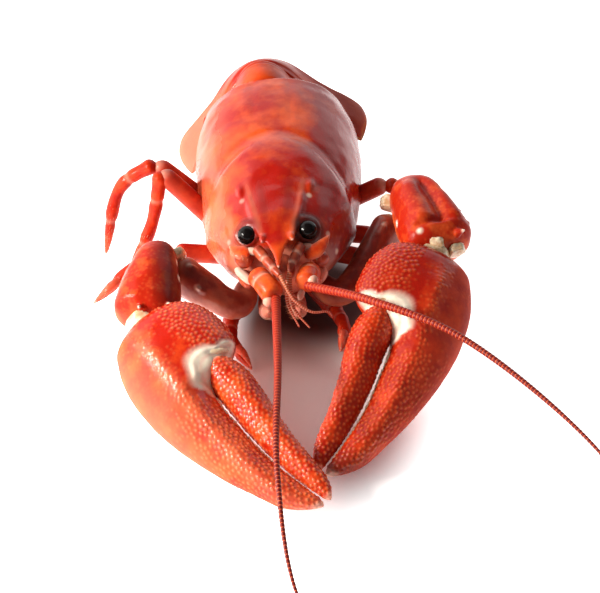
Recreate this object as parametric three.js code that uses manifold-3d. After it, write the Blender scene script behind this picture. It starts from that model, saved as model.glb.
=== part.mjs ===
// A cooked crayfish lying on its belly: shell of the head and chest, curled tail with its fan,
// two claw arms, four pairs of walking legs, eyes, feelers and mouth legs.
// Millimetres, +Z up, -Y to the front, left is -X. The origin is the flat spot of the belly on the table.
import * as THREE from "three";
import { ParametricGeometry } from "three/addons/geometries/ParametricGeometry.js";
import { mergeVertices } from "three/addons/utils/BufferGeometryUtils.js";
import Module from "manifold-3d";

const wasm = await Module();
wasm.setup();

// Driving dimensions
const SHELL_LENGTH = 53; // tip of the rostrum to the hind rim of the carapace
const SHELL_HALF_WIDTH = 15.9;
const SHELL_TOP = 27;
const ROSTRUM_TIP_Y = -26.5;
const BODY_LEAN = THREE.MathUtils.degToRad(-5); // the back leans over to -X
const LEAN_HEIGHT = 10; // the lean turns about a line at this height
const BODY_TURN = THREE.MathUtils.degToRad(-2.5); // the hind end swings over to +X
const TURN_Y = -22; // about an upright line through the face
const CLAW_LENGTH = 48.5; // wrist to finger tip
const CLAW_HALF_WIDTH = 10.2;
const CLAW_HALF_THICKNESS = 5.4;
const TAIL_RADIUS = 13.1; // outside of the curled tail
const TAIL_HALF_SPAN = 19.7; // across the widest side flaps
const EYE_RADIUS = 1.95;
const FEELER_RADIUS = 0.84; // long antenna, at its root
const FEELER_TIP_RADIUS = 0.16;
const GAP = 0.3; // clearance between neighbouring pieces
const FLAP_GAP = 0.48; // the same, between the overlapping tail rings and blades

const SHELL_RED = 0xc23a1c;
const CLAW_RED = 0xb8321a;
const LEG_RED = 0xb53a20;
const FEELER_ORANGE = 0xc8502a;
const EYE_BLACK = 0x0b0a0a;

const UP = new THREE.Vector3(0, 0, 1);
const vec = (x, y, z) => new THREE.Vector3(x, y, z);
const bow = (x, power) => Math.sign(x) * Math.abs(x) ** power;
const bell = (x, spread) => Math.exp(-((x / spread) ** 2));

// Value at t of a smooth line through [place, value] stations.
function through(stations, t) {
  if (typeof stations === "number") return stations;
  const last = stations.length - 1;
  if (t <= stations[0][0]) return stations[0][1];
  if (t >= stations[last][0]) return stations[last][1];
  const i = stations.findIndex((s) => s[0] > t) - 1;
  const slope = (k) => {
    const a = stations[Math.max(0, k - 1)];
    const b = stations[Math.min(last, k + 1)];
    return (b[1] - a[1]) / (b[0] - a[0]);
  };
  const [t0, v0] = stations[i];
  const [t1, v1] = stations[i + 1];
  const span = t1 - t0;
  const f = (t - t0) / span;
  const f2 = f * f;
  const f3 = f2 * f;
  const from = (2 * f3 - 3 * f2 + 1) * v0 + (f3 - 2 * f2 + f) * span * slope(i);
  return from + (3 * f2 - 2 * f3) * v1 + (f3 - f2) * span * slope(i + 1);
}

// Closed geometry of a surface(around, length) that pinches to a point at both ends, facing out.
function skin(surface, around, steps) {
  const made = new ParametricGeometry(surface, around, steps);
  made.deleteAttribute("normal");
  made.deleteAttribute("uv");
  const merged = mergeVertices(made, 1e-3);
  const corners = merged.index.array;
  const faces = [];
  let volume = 0;
  const [a, b, c] = [vec(), vec(), vec()];
  for (let i = 0; i < corners.length; i += 3) {
    const [p, q, r] = corners.subarray(i, i + 3);
    if (p === q || q === r || p === r) continue;
    faces.push(p, q, r);
    [a, b, c].forEach((corner, k) => corner.fromBufferAttribute(merged.attributes.position, [p, q, r][k]));
    volume += a.dot(b.cross(c));
  }
  merged.setIndex(volume < 0 ? faces.reverse() : faces);
  return merged;
}

function solid(geometry) {
  return new wasm.Manifold(
    new wasm.Mesh({
      numProp: 3,
      vertProperties: geometry.attributes.position.array,
      triVerts: new Uint32Array(geometry.index.array),
    }),
  );
}

function geometryOf(manifold) {
  const { vertProperties, triVerts } = manifold.getMesh();
  const made = new THREE.BufferGeometry();
  made.setAttribute("position", new THREE.BufferAttribute(vertProperties, 3));
  made.setIndex(new THREE.BufferAttribute(triVerts, 1));
  made.computeVertexNormals();
  return made;
}

// The largest body of a cut solid: a loose scrap that a cut leaves is dropped.
function mainBody(manifold) {
  return manifold.decompose().reduce((a, b) => (a.volume() > b.volume() ? a : b));
}

// Rows are closer together near both ends, where the domes need them.
const placed = (l) => 0.5 - 0.5 * Math.cos(Math.PI * l);

// How far a ring has opened at t, with a round dome over the share `cap` of each end.
function dome(t, cap) {
  const ends = [t / cap[0], (1 - t) / cap[1]].map((x) => Math.min(1, Math.max(0, x)));
  return Math.min(...ends.map((x) => Math.sqrt(1 - (1 - x) ** 2)));
}

// A limb: rings of half-width (along the side) and half-height (along up) swept along a curve.
function limb({ path, width, height, up = UP, power = 1, cap = [0.15, 0.15], around, steps, grow = 0 }) {
  const curve = new THREE.CatmullRomCurve3(path, false, "centripetal");
  return skin(
    (a, l, target) => {
      const t = placed(l);
      const tangent = curve.getTangentAt(t);
      const side = tangent.clone().cross(up).normalize();
      const top = side.clone().cross(tangent);
      const open = dome(t, cap);
      const angle = 2 * Math.PI * a;
      target.copy(curve.getPointAt(t)).addScaledVector(tangent, (2 * t - 1) * grow);
      target.addScaledVector(side, (through(width, t) + grow) * open * bow(Math.cos(angle), power));
      target.addScaledVector(top, (through(height, t) + grow) * open * bow(Math.sin(angle), power));
    },
    around,
    steps,
  );
}

function mesh(name, geometry, color, roughness = 0.35) {
  const made = new THREE.Mesh(geometry, new THREE.MeshStandardMaterial({ color, roughness, metalness: 0 }));
  made.name = name;
  return made;
}

// Paired pieces are built once for each side, -1 for the left and 1 for the right.
const SIDES = [
  ["left", -1],
  ["right", 1],
];

// The carapace: half-width, crown and keel along the shell, from the face (0) to the hind rim (1)
const FACE_AT = 0.11; // share of the shell's length where the face closes it
const SHELL_WIDTH = [
  [0, 0.46],
  [0.12, 0.64],
  [0.28, 0.83],
  [0.5, 0.96],
  [0.72, 1],
  [0.9, 0.97],
  [1, 0.9],
].map(([t, k]) => [t, k * SHELL_HALF_WIDTH]);
const SHELL_CROWN = [
  [0, 0.75],
  [0.12, 0.83],
  [0.28, 0.91],
  [0.5, 0.98],
  [0.65, 1],
  [0.85, 0.98],
  [1, 0.94],
].map(([t, k]) => [t, k * SHELL_TOP]);
const SHELL_WAIST = 11.5; // height of the widest line
const SHELL_KEEL = [
  [0, 7.5],
  [0.15, 4.2],
  [0.28, 0.8],
  [0.36, -0.8],
  [0.52, -0.8],
  [0.62, 2],
  [0.75, 3.4],
  [1, 5.5],
];
const SHELL_CAPS = [0.1, 0.04]; // shares that round off at the face and at the hind rim
const CROWN_POWER = 0.92; // fullness of the section above the waist
const BELLY_POWER = 1.35; // and below it
const FACE_LIFT = 2; // the waist rises by this much towards the face
const FACE_SHARE = 0.3; // over this share of the shell
const GROOVE_AT = 0.6; // cervical groove on the crown, as a share of the shell
const GROOVE_SWEEP = 0.2; // how far forward it runs on the flanks
const GROOVE_BEND = 1.6; // how late it turns forward
const SWEEP_SPREAD = 0.3; // share of the shell over which the sweep fades
const GROOVE_END = -0.2; // cosine of the angle where it ends low on the flank
const GROOVE_DEPTH = 0.7;
const GROOVE_SPREAD = 0.022;
const SHELL_AROUND = 24;
const SHELL_STEPS = 25;

function shellSkin(grow) {
  return skin(
    (a, l, target) => {
      const angle = 2 * Math.PI * a;
      const flank = Math.abs(Math.sin(angle)) ** GROOVE_BEND;
      const t = l - GROOVE_SWEEP * flank * bell(l - GROOVE_AT, SWEEP_SPREAD) * Math.sin(Math.PI * l);
      const open = dome(t, SHELL_CAPS);
      const cut = Math.cos(angle) > GROOVE_END ? GROOVE_DEPTH * bell(l - GROOVE_AT, GROOVE_SPREAD) : 0;
      const waist = SHELL_WAIST + FACE_LIFT * (1 - Math.min(1, t / FACE_SHARE));
      const rise = Math.cos(angle) > 0 ? through(SHELL_CROWN, t) - waist : waist - through(SHELL_KEEL, t);
      const wide = through(SHELL_WIDTH, t) + grow - cut;
      const high = rise + grow - cut;
      const y = ROSTRUM_TIP_Y + SHELL_LENGTH * (FACE_AT + (1 - FACE_AT) * t) + (2 * t - 1) * grow;
      const power = Math.cos(angle) < 0 ? BELLY_POWER : CROWN_POWER;
      const x = wide * open * bow(Math.sin(angle), power);
      target.set(x, y, waist + high * open * bow(Math.cos(angle), power));
    },
    SHELL_AROUND,
    SHELL_STEPS,
  );
}

const ROSTRUM_PATH = [vec(0, -7, 24.2), vec(0, -14, 22.8), vec(0, -20.5, 21), vec(0, ROSTRUM_TIP_Y, 19.2)];
const ROSTRUM_WIDTH = [
  [0, 4.6],
  [0.35, 4.4],
  [0.6, 3.5],
  [0.76, 2.5],
  [0.82, 1.5],
  [1, 0.35],
];
const ROSTRUM_HEIGHT = [
  [0, 2],
  [0.5, 1.5],
  [1, 0.4],
];

// Spines of the right half: tooth of the rostrum, ridge behind the eye, corner of the cheek
const SHELL_SPINES = [
  { root: vec(2.3, -18.2, 21.5), tip: vec(2.8, -21, 21.1), radius: 0.8 },
  { root: vec(5.6, -3.5, 24.4), tip: vec(5.2, -9.8, 23.7), radius: 1.1 },
  { root: vec(9, -10, 19), tip: vec(9, -15.5, 18.2), radius: 1 },
];

function spine(side, { root, tip, radius }) {
  const taper = [
    [0, radius],
    [0.6, 0.6 * radius],
    [1, 0.15 * radius],
  ];
  return limb({
    path: [root, tip].map((p) => vec(side * p.x, p.y, p.z)),
    width: taper,
    height: taper,
    up: vec(1, 0.2, 0.3),
    cap: [0.2, 0.1],
    around: 6,
    steps: 4,
  });
}

const EYE_PLACE = { x: 5.4, y: -16.8, z: 20.2 };
const STALK_RADIUS = 1.35;
const STALK_REACH = { x: 2.6, y: 0.6, z: -1.2 }; // from the eye in to the head

function eye(side, grow = 0) {
  const centre = vec(side * EYE_PLACE.x, EYE_PLACE.y, EYE_PLACE.z);
  const ball = new THREE.SphereGeometry(EYE_RADIUS + grow, 10, 8);
  ball.translate(...centre);
  ball.deleteAttribute("normal");
  ball.deleteAttribute("uv");
  const stalk = limb({
    path: [centre, centre.clone().add(vec(-side * STALK_REACH.x, STALK_REACH.y, STALK_REACH.z))],
    width: STALK_RADIUS,
    height: STALK_RADIUS,
    around: 7,
    steps: 4,
    grow,
  });
  return solid(mergeVertices(ball)).add(solid(stalk));
}

const TABLE_SIDE = 80; // block below the table's plane, which cuts the belly's flat spot
const TABLE_DEPTH = 20;

function carapace(lean) {
  let shell = solid(shellSkin(0));
  shell = shell.add(
    solid(
      limb({
        path: ROSTRUM_PATH,
        width: ROSTRUM_WIDTH,
        height: ROSTRUM_HEIGHT,
        cap: [0.05, 0.02],
        around: 10,
        steps: 12,
      }),
    ),
  );
  for (const [, side] of SIDES) {
    for (const point of SHELL_SPINES) shell = shell.add(solid(spine(side, point)));
    shell = shell.subtract(eye(side, GAP));
  }
  const table = new THREE.BoxGeometry(TABLE_SIDE, TABLE_SIDE, TABLE_DEPTH).translate(0, 0, -TABLE_DEPTH / 2);
  table.applyMatrix4(lean.matrix.clone().invert());
  table.deleteAttribute("normal");
  table.deleteAttribute("uv");
  return mainBody(shell.subtract(solid(mergeVertices(table))));
}

// The tail curls under in a half circle about a line across the body, and each ring is a band of it.
const CURL_CENTRE = vec(-1.2, 28.5, TAIL_RADIUS + 0.6);
const TAIL_YAW = THREE.MathUtils.degToRad(4);
const TAIL_TWIST = THREE.MathUtils.degToRad(-4.5); // the tail leans a little more than the body
const TAIL_BELLY = 6; // inner radius of the curl
const FLAP_LENGTH = 8; // side flaps, front to back
const ARCH_SHARE = 0.6; // share of the half-span under the arch; the flaps flare out over the rest
const FLARE_POWER = 8; // how late the flaps flare out
const DROP_POWER = 1.15; // how the arch falls to its flaps
const BAND_CAPS = [0.12, 0.05];
const BAND_RISE = [
  [0, -1.2],
  [0.3, -0.35],
  [0.75, -0.2],
  [1, 0],
];
const TAIL_BANDS = [
  { name: "tail_ring_1", from: -8, to: 16, span: 0.68, flap: 3 },
  { name: "tail_ring_2", from: 12, to: 46, span: 1, flap: -4.2 },
  { name: "tail_ring_3", from: 42, to: 78, span: 0.78, flap: -0.5 },
  { name: "tail_ring_4", from: 74, to: 110, span: 0.74, flap: 1 },
  { name: "tail_ring_5", from: 106, to: 141, span: 0.7, flap: 2 },
  { name: "tail_ring_6", from: 137, to: 174, span: 0.64, flap: 4.5 },
];

// A band of the tail: an arch across with a low front edge and a raised hind rim; its ends hang as flaps.
function tailBand({ from, to, span, flap }, grow = 0) {
  const half = span * TAIL_HALF_SPAN;
  const out = (angle) => vec(0, Math.sin(angle), Math.cos(angle));
  const back = (angle) => vec(0, Math.cos(angle), -Math.sin(angle));
  const middle = THREE.MathUtils.degToRad(0.5 * (from + to));
  return skin(
    (a, l, target) => {
      const t = placed(l);
      const angle = 2 * Math.PI * a;
      const across = Math.sin(angle);
      const open = dome(t, BAND_CAPS);
      const outer = TAIL_RADIUS + through(BAND_RISE, t);
      const face = Math.cos(angle) > 0.01 ? 1 : -1;
      const edge = face > 0 ? outer : TAIL_BELLY;
      const full = flap + (edge - flap) * Math.abs(Math.cos(angle)) ** DROP_POWER + face * grow;
      const core = 0.5 * (outer + TAIL_BELLY);
      const radius = core + (full - core) * open;
      const turn = THREE.MathUtils.degToRad(from + (to - from) * t);
      const slide = (2 * t - 1) * grow;
      const wide = half * (ARCH_SHARE + (1 - ARCH_SHARE) * across ** FLARE_POWER) + grow;
      const arch = out(turn).multiplyScalar(radius).addScaledVector(back(turn), slide);
      const hung = out(middle).multiplyScalar(radius);
      hung.addScaledVector(back(middle), (t - 0.5) * FLAP_LENGTH + slide);
      target.copy(arch.lerp(hung, open * across ** 2));
      target.x += wide * open * across;
    },
    20,
    7,
  );
}

// Tail fan: flat blades that lie under the body and point forward from the last ring.
const FAN_ROOT = vec(3, 25.2, 0.75);
const FAN_BLADES = [
  { name: "telson", turn: 0, length: 13.5, half: 5 },
  { name: "fan_inner_left", turn: -31, length: 12.5, half: 4 },
  { name: "fan_inner_right", turn: 31, length: 12.5, half: 4 },
  { name: "fan_outer_left", turn: -60, length: 11.5, half: 3.7 },
  { name: "fan_outer_right", turn: 60, length: 11.5, half: 3.7 },
];
const BLADE_HALF_THICKNESS = 0.6;
const BLADE_OFFSET = 4.2; // the paired blades start this far from the root

function fanBlade({ turn, length, half }, grow = 0) {
  const angle = THREE.MathUtils.degToRad(turn);
  const heading = vec(Math.sin(angle), -Math.cos(angle), 0);
  const start = FAN_ROOT.clone().addScaledVector(heading, turn === 0 ? 0 : BLADE_OFFSET);
  return limb({
    path: [start, start.clone().addScaledVector(heading, length)],
    width: [
      [0, 0.45 * half],
      [0.35, 0.9 * half],
      [0.75, half],
      [1, 0.8 * half],
    ],
    height: BLADE_HALF_THICKNESS,
    cap: [0.1, 0.22],
    power: 0.8,
    around: 12,
    steps: 7,
    grow,
  });
}

// Claw hand in its own frame: u along the hand, v to the outer edge, w up from the broad face.
// Edges of the palm with its fixed finger, and of the moving finger, as shares of length and half-width
const HAND_OUTER = [
  [0, 0.5],
  [0.06, 0.74],
  [0.18, 0.99],
  [0.32, 1.08],
  [0.44, 1.06],
  [0.57, 0.95],
  [0.7, 0.8],
  [0.82, 0.6],
  [0.92, 0.4],
  [1, 0.04],
];
const HAND_INNER = [
  [0, -0.5],
  [0.05, -0.77],
  [0.14, -0.98],
  [0.25, -1],
  [0.31, -0.9],
  [0.35, -0.6],
  [0.39, -0.15],
  [0.46, 0],
  [0.57, 0.04],
  [0.7, 0.06],
  [0.82, 0.02],
  [0.92, -0.05],
  [1, -0.13],
];
const HAND_THICK = [
  [0, 0.7],
  [0.1, 0.92],
  [0.25, 1],
  [0.4, 0.88],
  [0.62, 0.62],
  [0.85, 0.4],
  [1, 0.12],
];
const HAND_POWER = 0.9; // fullness of the broad faces
const FINGER_FROM = 0.32; // where the moving finger is hinged, as a share of the hand
const FINGER_OUTER = [
  [0, -0.2],
  [0.1, -0.07],
  [0.3, -0.025],
  [0.5, 0.01],
  [0.7, -0.015],
  [0.85, -0.075],
  [1, -0.16],
];
const FINGER_INNER = [
  [0, -0.56],
  [0.08, -0.69],
  [0.16, -0.73],
  [0.28, -0.69],
  [0.45, -0.58],
  [0.62, -0.5],
  [0.8, -0.46],
  [0.92, -0.4],
  [1, -0.26],
];
const FINGER_THICK = [
  [0, 0.6],
  [0.15, 0.66],
  [0.5, 0.5],
  [0.85, 0.32],
  [1, 0.1],
];

// A flat limb between two edges; side mirrors it for the right claw.
function bladed({ side, from, outer, inner, thick, cap, around, steps, grow = 0 }) {
  return skin(
    (a, l, target) => {
      const t = placed(l);
      const angle = 2 * Math.PI * a;
      const edges = [outer, inner].map((edge) => through(edge, t) * CLAW_HALF_WIDTH);
      const middle = 0.5 * (edges[0] + edges[1]);
      const half = 0.5 * (edges[0] - edges[1]) + grow;
      const high = through(thick, t) * CLAW_HALF_THICKNESS + grow;
      const open = dome(t, cap);
      const u = CLAW_LENGTH * (from + (1 - from) * t) + (2 * t - 1) * grow;
      const v = side * (middle + half * open * Math.cos(angle));
      target.set(u, v, high * open * bow(Math.sin(angle), HAND_POWER));
    },
    around,
    steps,
  );
}

const handOf = (side, grow) =>
  bladed({
    side,
    from: 0,
    outer: HAND_OUTER,
    inner: HAND_INNER,
    thick: HAND_THICK,
    cap: [0.07, 0.04],
    around: 16,
    steps: 24,
    grow,
  });
const fingerOf = (side, grow) =>
  bladed({
    side,
    from: FINGER_FROM,
    outer: FINGER_OUTER,
    inner: FINGER_INNER,
    thick: FINGER_THICK,
    cap: [0.06, 0.04],
    around: 12,
    steps: 14,
    grow,
  });

// Where each arm bends: hip beside the mouth, knee of the lower arm and its end under the elbow, then the
// elbow and the cuff at either end of the wrist piece, the root of the hand and the finger tip.
const ARMS = {
  left: {
    side: -1,
    girth: 0.9,
    hip: vec(-5.6, -14, 7.2),
    bend: vec(-8.4, -20.5, 7.2),
    shoulder: vec(-20, -15, 12),
    elbow: vec(-21.8, -14, 16.2),
    cuff: vec(-24.8, -31.5, 12.7),
    wrist: vec(-25.4, -31.5, 12.7),
    tip: vec(4.2, -70.8, 2.4),
    roll: 20,
  },
  right: {
    side: 1,
    girth: 1,
    hip: vec(5.8, -13.5, 7.4),
    bend: vec(10.5, -18.5, 7.4),
    shoulder: vec(22, -4.5, 13),
    elbow: vec(23.9, -1.6, 19.4),
    cuff: vec(28.6, -21.6, 17.6),
    wrist: vec(27.2, -21.6, 17.6),
    tip: vec(5.6, -61, 3.2),
    roll: 16,
  },
};

// Frame of a claw at its wrist: u to the tip, v to the outer edge tipped down by the roll, w up.
function clawFrame({ side, wrist, tip, roll }) {
  const u = tip.clone().sub(wrist).normalize();
  const v = u.clone().cross(UP).normalize().multiplyScalar(-side);
  const w = vec().crossVectors(u, v).multiplyScalar(side);
  const turn = THREE.MathUtils.degToRad(roll);
  const outer = v.clone().multiplyScalar(Math.cos(turn)).addScaledVector(w, -Math.sin(turn));
  const normal = w.clone().multiplyScalar(Math.cos(turn)).addScaledVector(v, Math.sin(turn));
  return new THREE.Matrix4().makeBasis(u, outer.multiplyScalar(side), normal).setPosition(wrist);
}

const WRIST_WIDTH = [
  [0, 3.4],
  [0.3, 4.9],
  [0.7, 6.2],
  [1, 6.2],
];
const WRIST_HEIGHT = [
  [0, 3.8],
  [0.4, 5],
  [0.75, 5.2],
  [1, 4.4],
];
const ARM_WIDTH = [
  [0, 2.2],
  [0.3, 2.6],
  [0.7, 3],
  [1, 3.3],
];
const ARM_HEIGHT = [
  [0, 2.2],
  [0.3, 2.5],
  [0.6, 3],
  [0.85, 4],
  [1, 3.8],
];

function clawArm(name, arm, shellRoom) {
  const group = new THREE.Group();
  group.applyMatrix4(clawFrame(arm));
  group.updateMatrixWorld(true);
  const local = (p) => group.worldToLocal(p.clone());
  const inGroup = (direction) => direction.clone().transformDirection(group.matrixWorld.clone().invert());
  const finger = solid(fingerOf(arm.side, 0));
  const hand = solid(handOf(arm.side, 0)).subtract(solid(fingerOf(arm.side, GAP)));
  const wristOf = (grow) =>
    solid(
      limb({
        path: [local(arm.elbow), local(arm.cuff)],
        width: WRIST_WIDTH.map(([t, half]) => [t, half * arm.girth]),
        height: WRIST_HEIGHT,
        up: inGroup(UP),
        power: 0.85,
        cap: [0.22, 0.16],
        around: 14,
        steps: 10,
        grow,
      }),
    );
  const lower = limb({
    path: [local(arm.hip), local(arm.bend), local(arm.shoulder)],
    width: ARM_WIDTH,
    height: ARM_HEIGHT,
    up: inGroup(UP),
    cap: [0.12, 0.14],
    around: 12,
    steps: 12,
  });
  const wrist = wristOf(0).subtract(solid(handOf(arm.side, GAP)));
  const room = solid(shellRoom.clone().applyMatrix4(group.matrixWorld.clone().invert()));
  const upper = solid(lower).subtract(wristOf(GAP)).subtract(room);
  group.add(
    mesh(`claw_palm_${name}`, geometryOf(mainBody(hand)), CLAW_RED),
    mesh(`claw_finger_${name}`, geometryOf(finger), CLAW_RED),
    mesh(`claw_wrist_${name}`, geometryOf(mainBody(wrist)), CLAW_RED),
    mesh(`claw_arm_${name}`, geometryOf(mainBody(upper)), CLAW_RED),
  );
  return group;
}

// Walking legs: hip, knee, bend and foot of each, front to back, on either side.
const LEGS = {
  left: [
    {
      hip: vec(-5, -8, 3.2),
      knee: vec(-9.4, -18.5, 2.7),
      ankle: vec(-9.4, -25.4, 2.6),
      foot: vec(-6.2, -30.8, 0.5),
    },
    {
      hip: vec(-7.8, -1.5, 4),
      knee: vec(-19, -5.4, 8.4),
      ankle: vec(-25, -6, 7),
      foot: vec(-34.5, -9.6, 0.5),
    },
    {
      hip: vec(-8.4, 4, 4.8),
      knee: vec(-21, 4, 20),
      ankle: vec(-23.4, 2, 9),
      foot: vec(-28, -1, 0.5),
    },
    {
      hip: vec(-8.4, 9, 5),
      knee: vec(-22, 8.4, 19),
      ankle: vec(-28.8, 9, 13.5),
      foot: vec(-32.4, 5.4, 0.5),
    },
  ],
  right: [
    {
      hip: vec(5, -8, 3.4),
      knee: vec(9.6, -17.5, 2.9),
      ankle: vec(11, -22.6, 2.6),
      foot: vec(10, -27, 0.5),
    },
    {
      hip: vec(7.8, -1.5, 4.8),
      knee: vec(17, -5, 4.6),
      ankle: vec(25, -6, 3.4),
      foot: vec(33, -8.6, 0.5),
    },
    {
      hip: vec(8.4, 4, 5),
      knee: vec(18.5, 0.5, 6),
      ankle: vec(25.5, -1, 4.6),
      foot: vec(33, -4.4, 0.5),
    },
    {
      hip: vec(8.4, 9, 5.2),
      knee: vec(21, 3.8, 15.6),
      ankle: vec(27.6, 4.4, 11),
      foot: vec(31.6, 2.4, 0.5),
    },
  ],
};
const THIGH_RADIUS = [
  [0, 1.9],
  [0.3, 1.8],
  [0.75, 2],
  [1, 1.7],
];
const SHIN_RADIUS = [
  [0, 1.7],
  [0.3, 1.45],
  [0.6, 1.35],
  [0.8, 0.8],
  [1, 0.25],
];

function walkingLeg(name, index, { hip, knee, ankle, foot }, room) {
  const lateral = vec(0, 1, 0.2);
  const shinOf = (grow) =>
    limb({
      path: [knee, ankle, foot],
      width: SHIN_RADIUS,
      height: SHIN_RADIUS,
      up: lateral,
      cap: [0.08, 0.04],
      around: 7,
      steps: 11,
      grow,
    });
  const thigh = solid(
    limb({
      path: [hip, knee],
      width: THIGH_RADIUS,
      height: THIGH_RADIUS,
      up: lateral,
      cap: [0.1, 0.1],
      around: 7,
      steps: 6,
    }),
  );
  const cut = thigh.subtract(solid(shinOf(GAP))).subtract(room);
  return [
    mesh(`leg_${index}_${name}_upper`, geometryOf(mainBody(cut)), LEG_RED),
    mesh(`leg_${index}_${name}_lower`, shinOf(0), LEG_RED),
  ];
}

// Long feelers: root segments beside the rostrum, then a whip that reaches over the claws.
const FEELERS = {
  left: {
    root: vec(-5.8, -21.8, 16.2),
    whip: [
      vec(-1.7, -28.6, 14.8),
      vec(-2.65, -50, 16.6),
      vec(-4.2, -74, 15.6),
      vec(-2.6, -93, 8.6),
      vec(3, -104, 3),
    ],
  },
  right: {
    root: vec(5.4, -21, 15.6),
    whip: [
      vec(3.8, -26.9, 15.9),
      vec(14, -37, 19.9),
      vec(28, -50, 21.4),
      vec(46, -77, 19.4),
      vec(51, -90, 16),
    ],
  },
};

function feelerRoot(name, grow = 0) {
  const { root, whip } = FEELERS[name];
  return limb({
    path: [root, root.clone().lerp(whip[0], 0.45).add(vec(0, 0, 0.3)), whip[0]],
    width: [
      [0, 1.9],
      [0.4, 2.1],
      [0.8, 2],
      [1, 1.5],
    ],
    height: 1.9,
    cap: [0.15, 0.15],
    around: 10,
    steps: 8,
    grow,
  });
}

function feeler(name) {
  const radius = [
    [0, FEELER_RADIUS],
    [0.35, 0.78 * FEELER_RADIUS],
    [0.65, 0.47 * FEELER_RADIUS],
    [1, FEELER_TIP_RADIUS],
  ];
  return limb({
    path: FEELERS[name].whip,
    width: radius,
    height: radius,
    cap: [0.01, 0.01],
    around: 7,
    steps: 22,
  });
}

// Antennal scales: pointed plates above the feelers' roots.
const SCALES = {
  left: [vec(-5.8, -20.4, 18.4), vec(-7.4, -19.8, 18.4), vec(-9.2, -17.6, 18)],
  right: [vec(4.8, -20.4, 18.2), vec(6.5, -19.8, 18.6), vec(8.2, -17.6, 19.3)],
};

function scalePlate(name) {
  return limb({
    path: SCALES[name],
    width: [
      [0, 1],
      [0.4, 1.6],
      [1, 0.25],
    ],
    height: 0.5,
    up: vec(0, -0.6, 0.8),
    cap: [0.1, 0.05],
    around: 8,
    steps: 6,
  });
}

// Small feelers: a stem under the rostrum that ends in a thin curled whip.
const SMALL_FEELERS = {
  left: [
    vec(-4.6, -19.7, 19.1),
    vec(-2.9, -22.5, 18.4),
    vec(-0.7, -26.6, 17.9),
    vec(1.5, -29, 14.4),
    vec(4.4, -30.5, 12.8),
    vec(7.4, -29.5, 11.8),
    vec(8.2, -29.5, 10.6),
  ],
  right: [
    vec(3.4, -19.4, 19.2),
    vec(1.9, -22.5, 18.4),
    vec(0.9, -25, 17.4),
    vec(0.3, -28.5, 13.9),
    vec(2.3, -30, 9.1),
  ],
};

function smallFeeler(name) {
  const radius = [
    [0, 1],
    [0.25, 0.85],
    [0.4, 0.42],
    [1, 0.15],
  ];
  return limb({
    path: SMALL_FEELERS[name],
    width: radius,
    height: radius,
    cap: [0.05, 0.02],
    around: 7,
    steps: 14,
  });
}

// Mouth legs: a pair folded under the face.
function mouthLeg(side) {
  return limb({
    path: [vec(side * 2.3, -13.5, 4.6), vec(side * 2.8, -21, 6), vec(side * 2.8, -25.4, 9.2)],
    width: [
      [0, 1.6],
      [0.5, 1.7],
      [1, 0.8],
    ],
    height: 1.5,
    cap: [0.12, 0.15],
    around: 8,
    steps: 8,
  });
}

// A rotation about a line through a point.
function about(point, rotation) {
  const there = new THREE.Matrix4().setPosition(point);
  return there.clone().multiply(rotation).multiply(there.clone().invert());
}

// Place of the shell and the tail: turned about the face, then leaned over.
function bodyPlace() {
  const turn = about(vec(0, TURN_Y, 0), new THREE.Matrix4().makeRotationZ(BODY_TURN));
  return about(vec(0, 0, LEAN_HEIGHT), new THREE.Matrix4().makeRotationY(BODY_LEAN)).multiply(turn);
}

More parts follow.
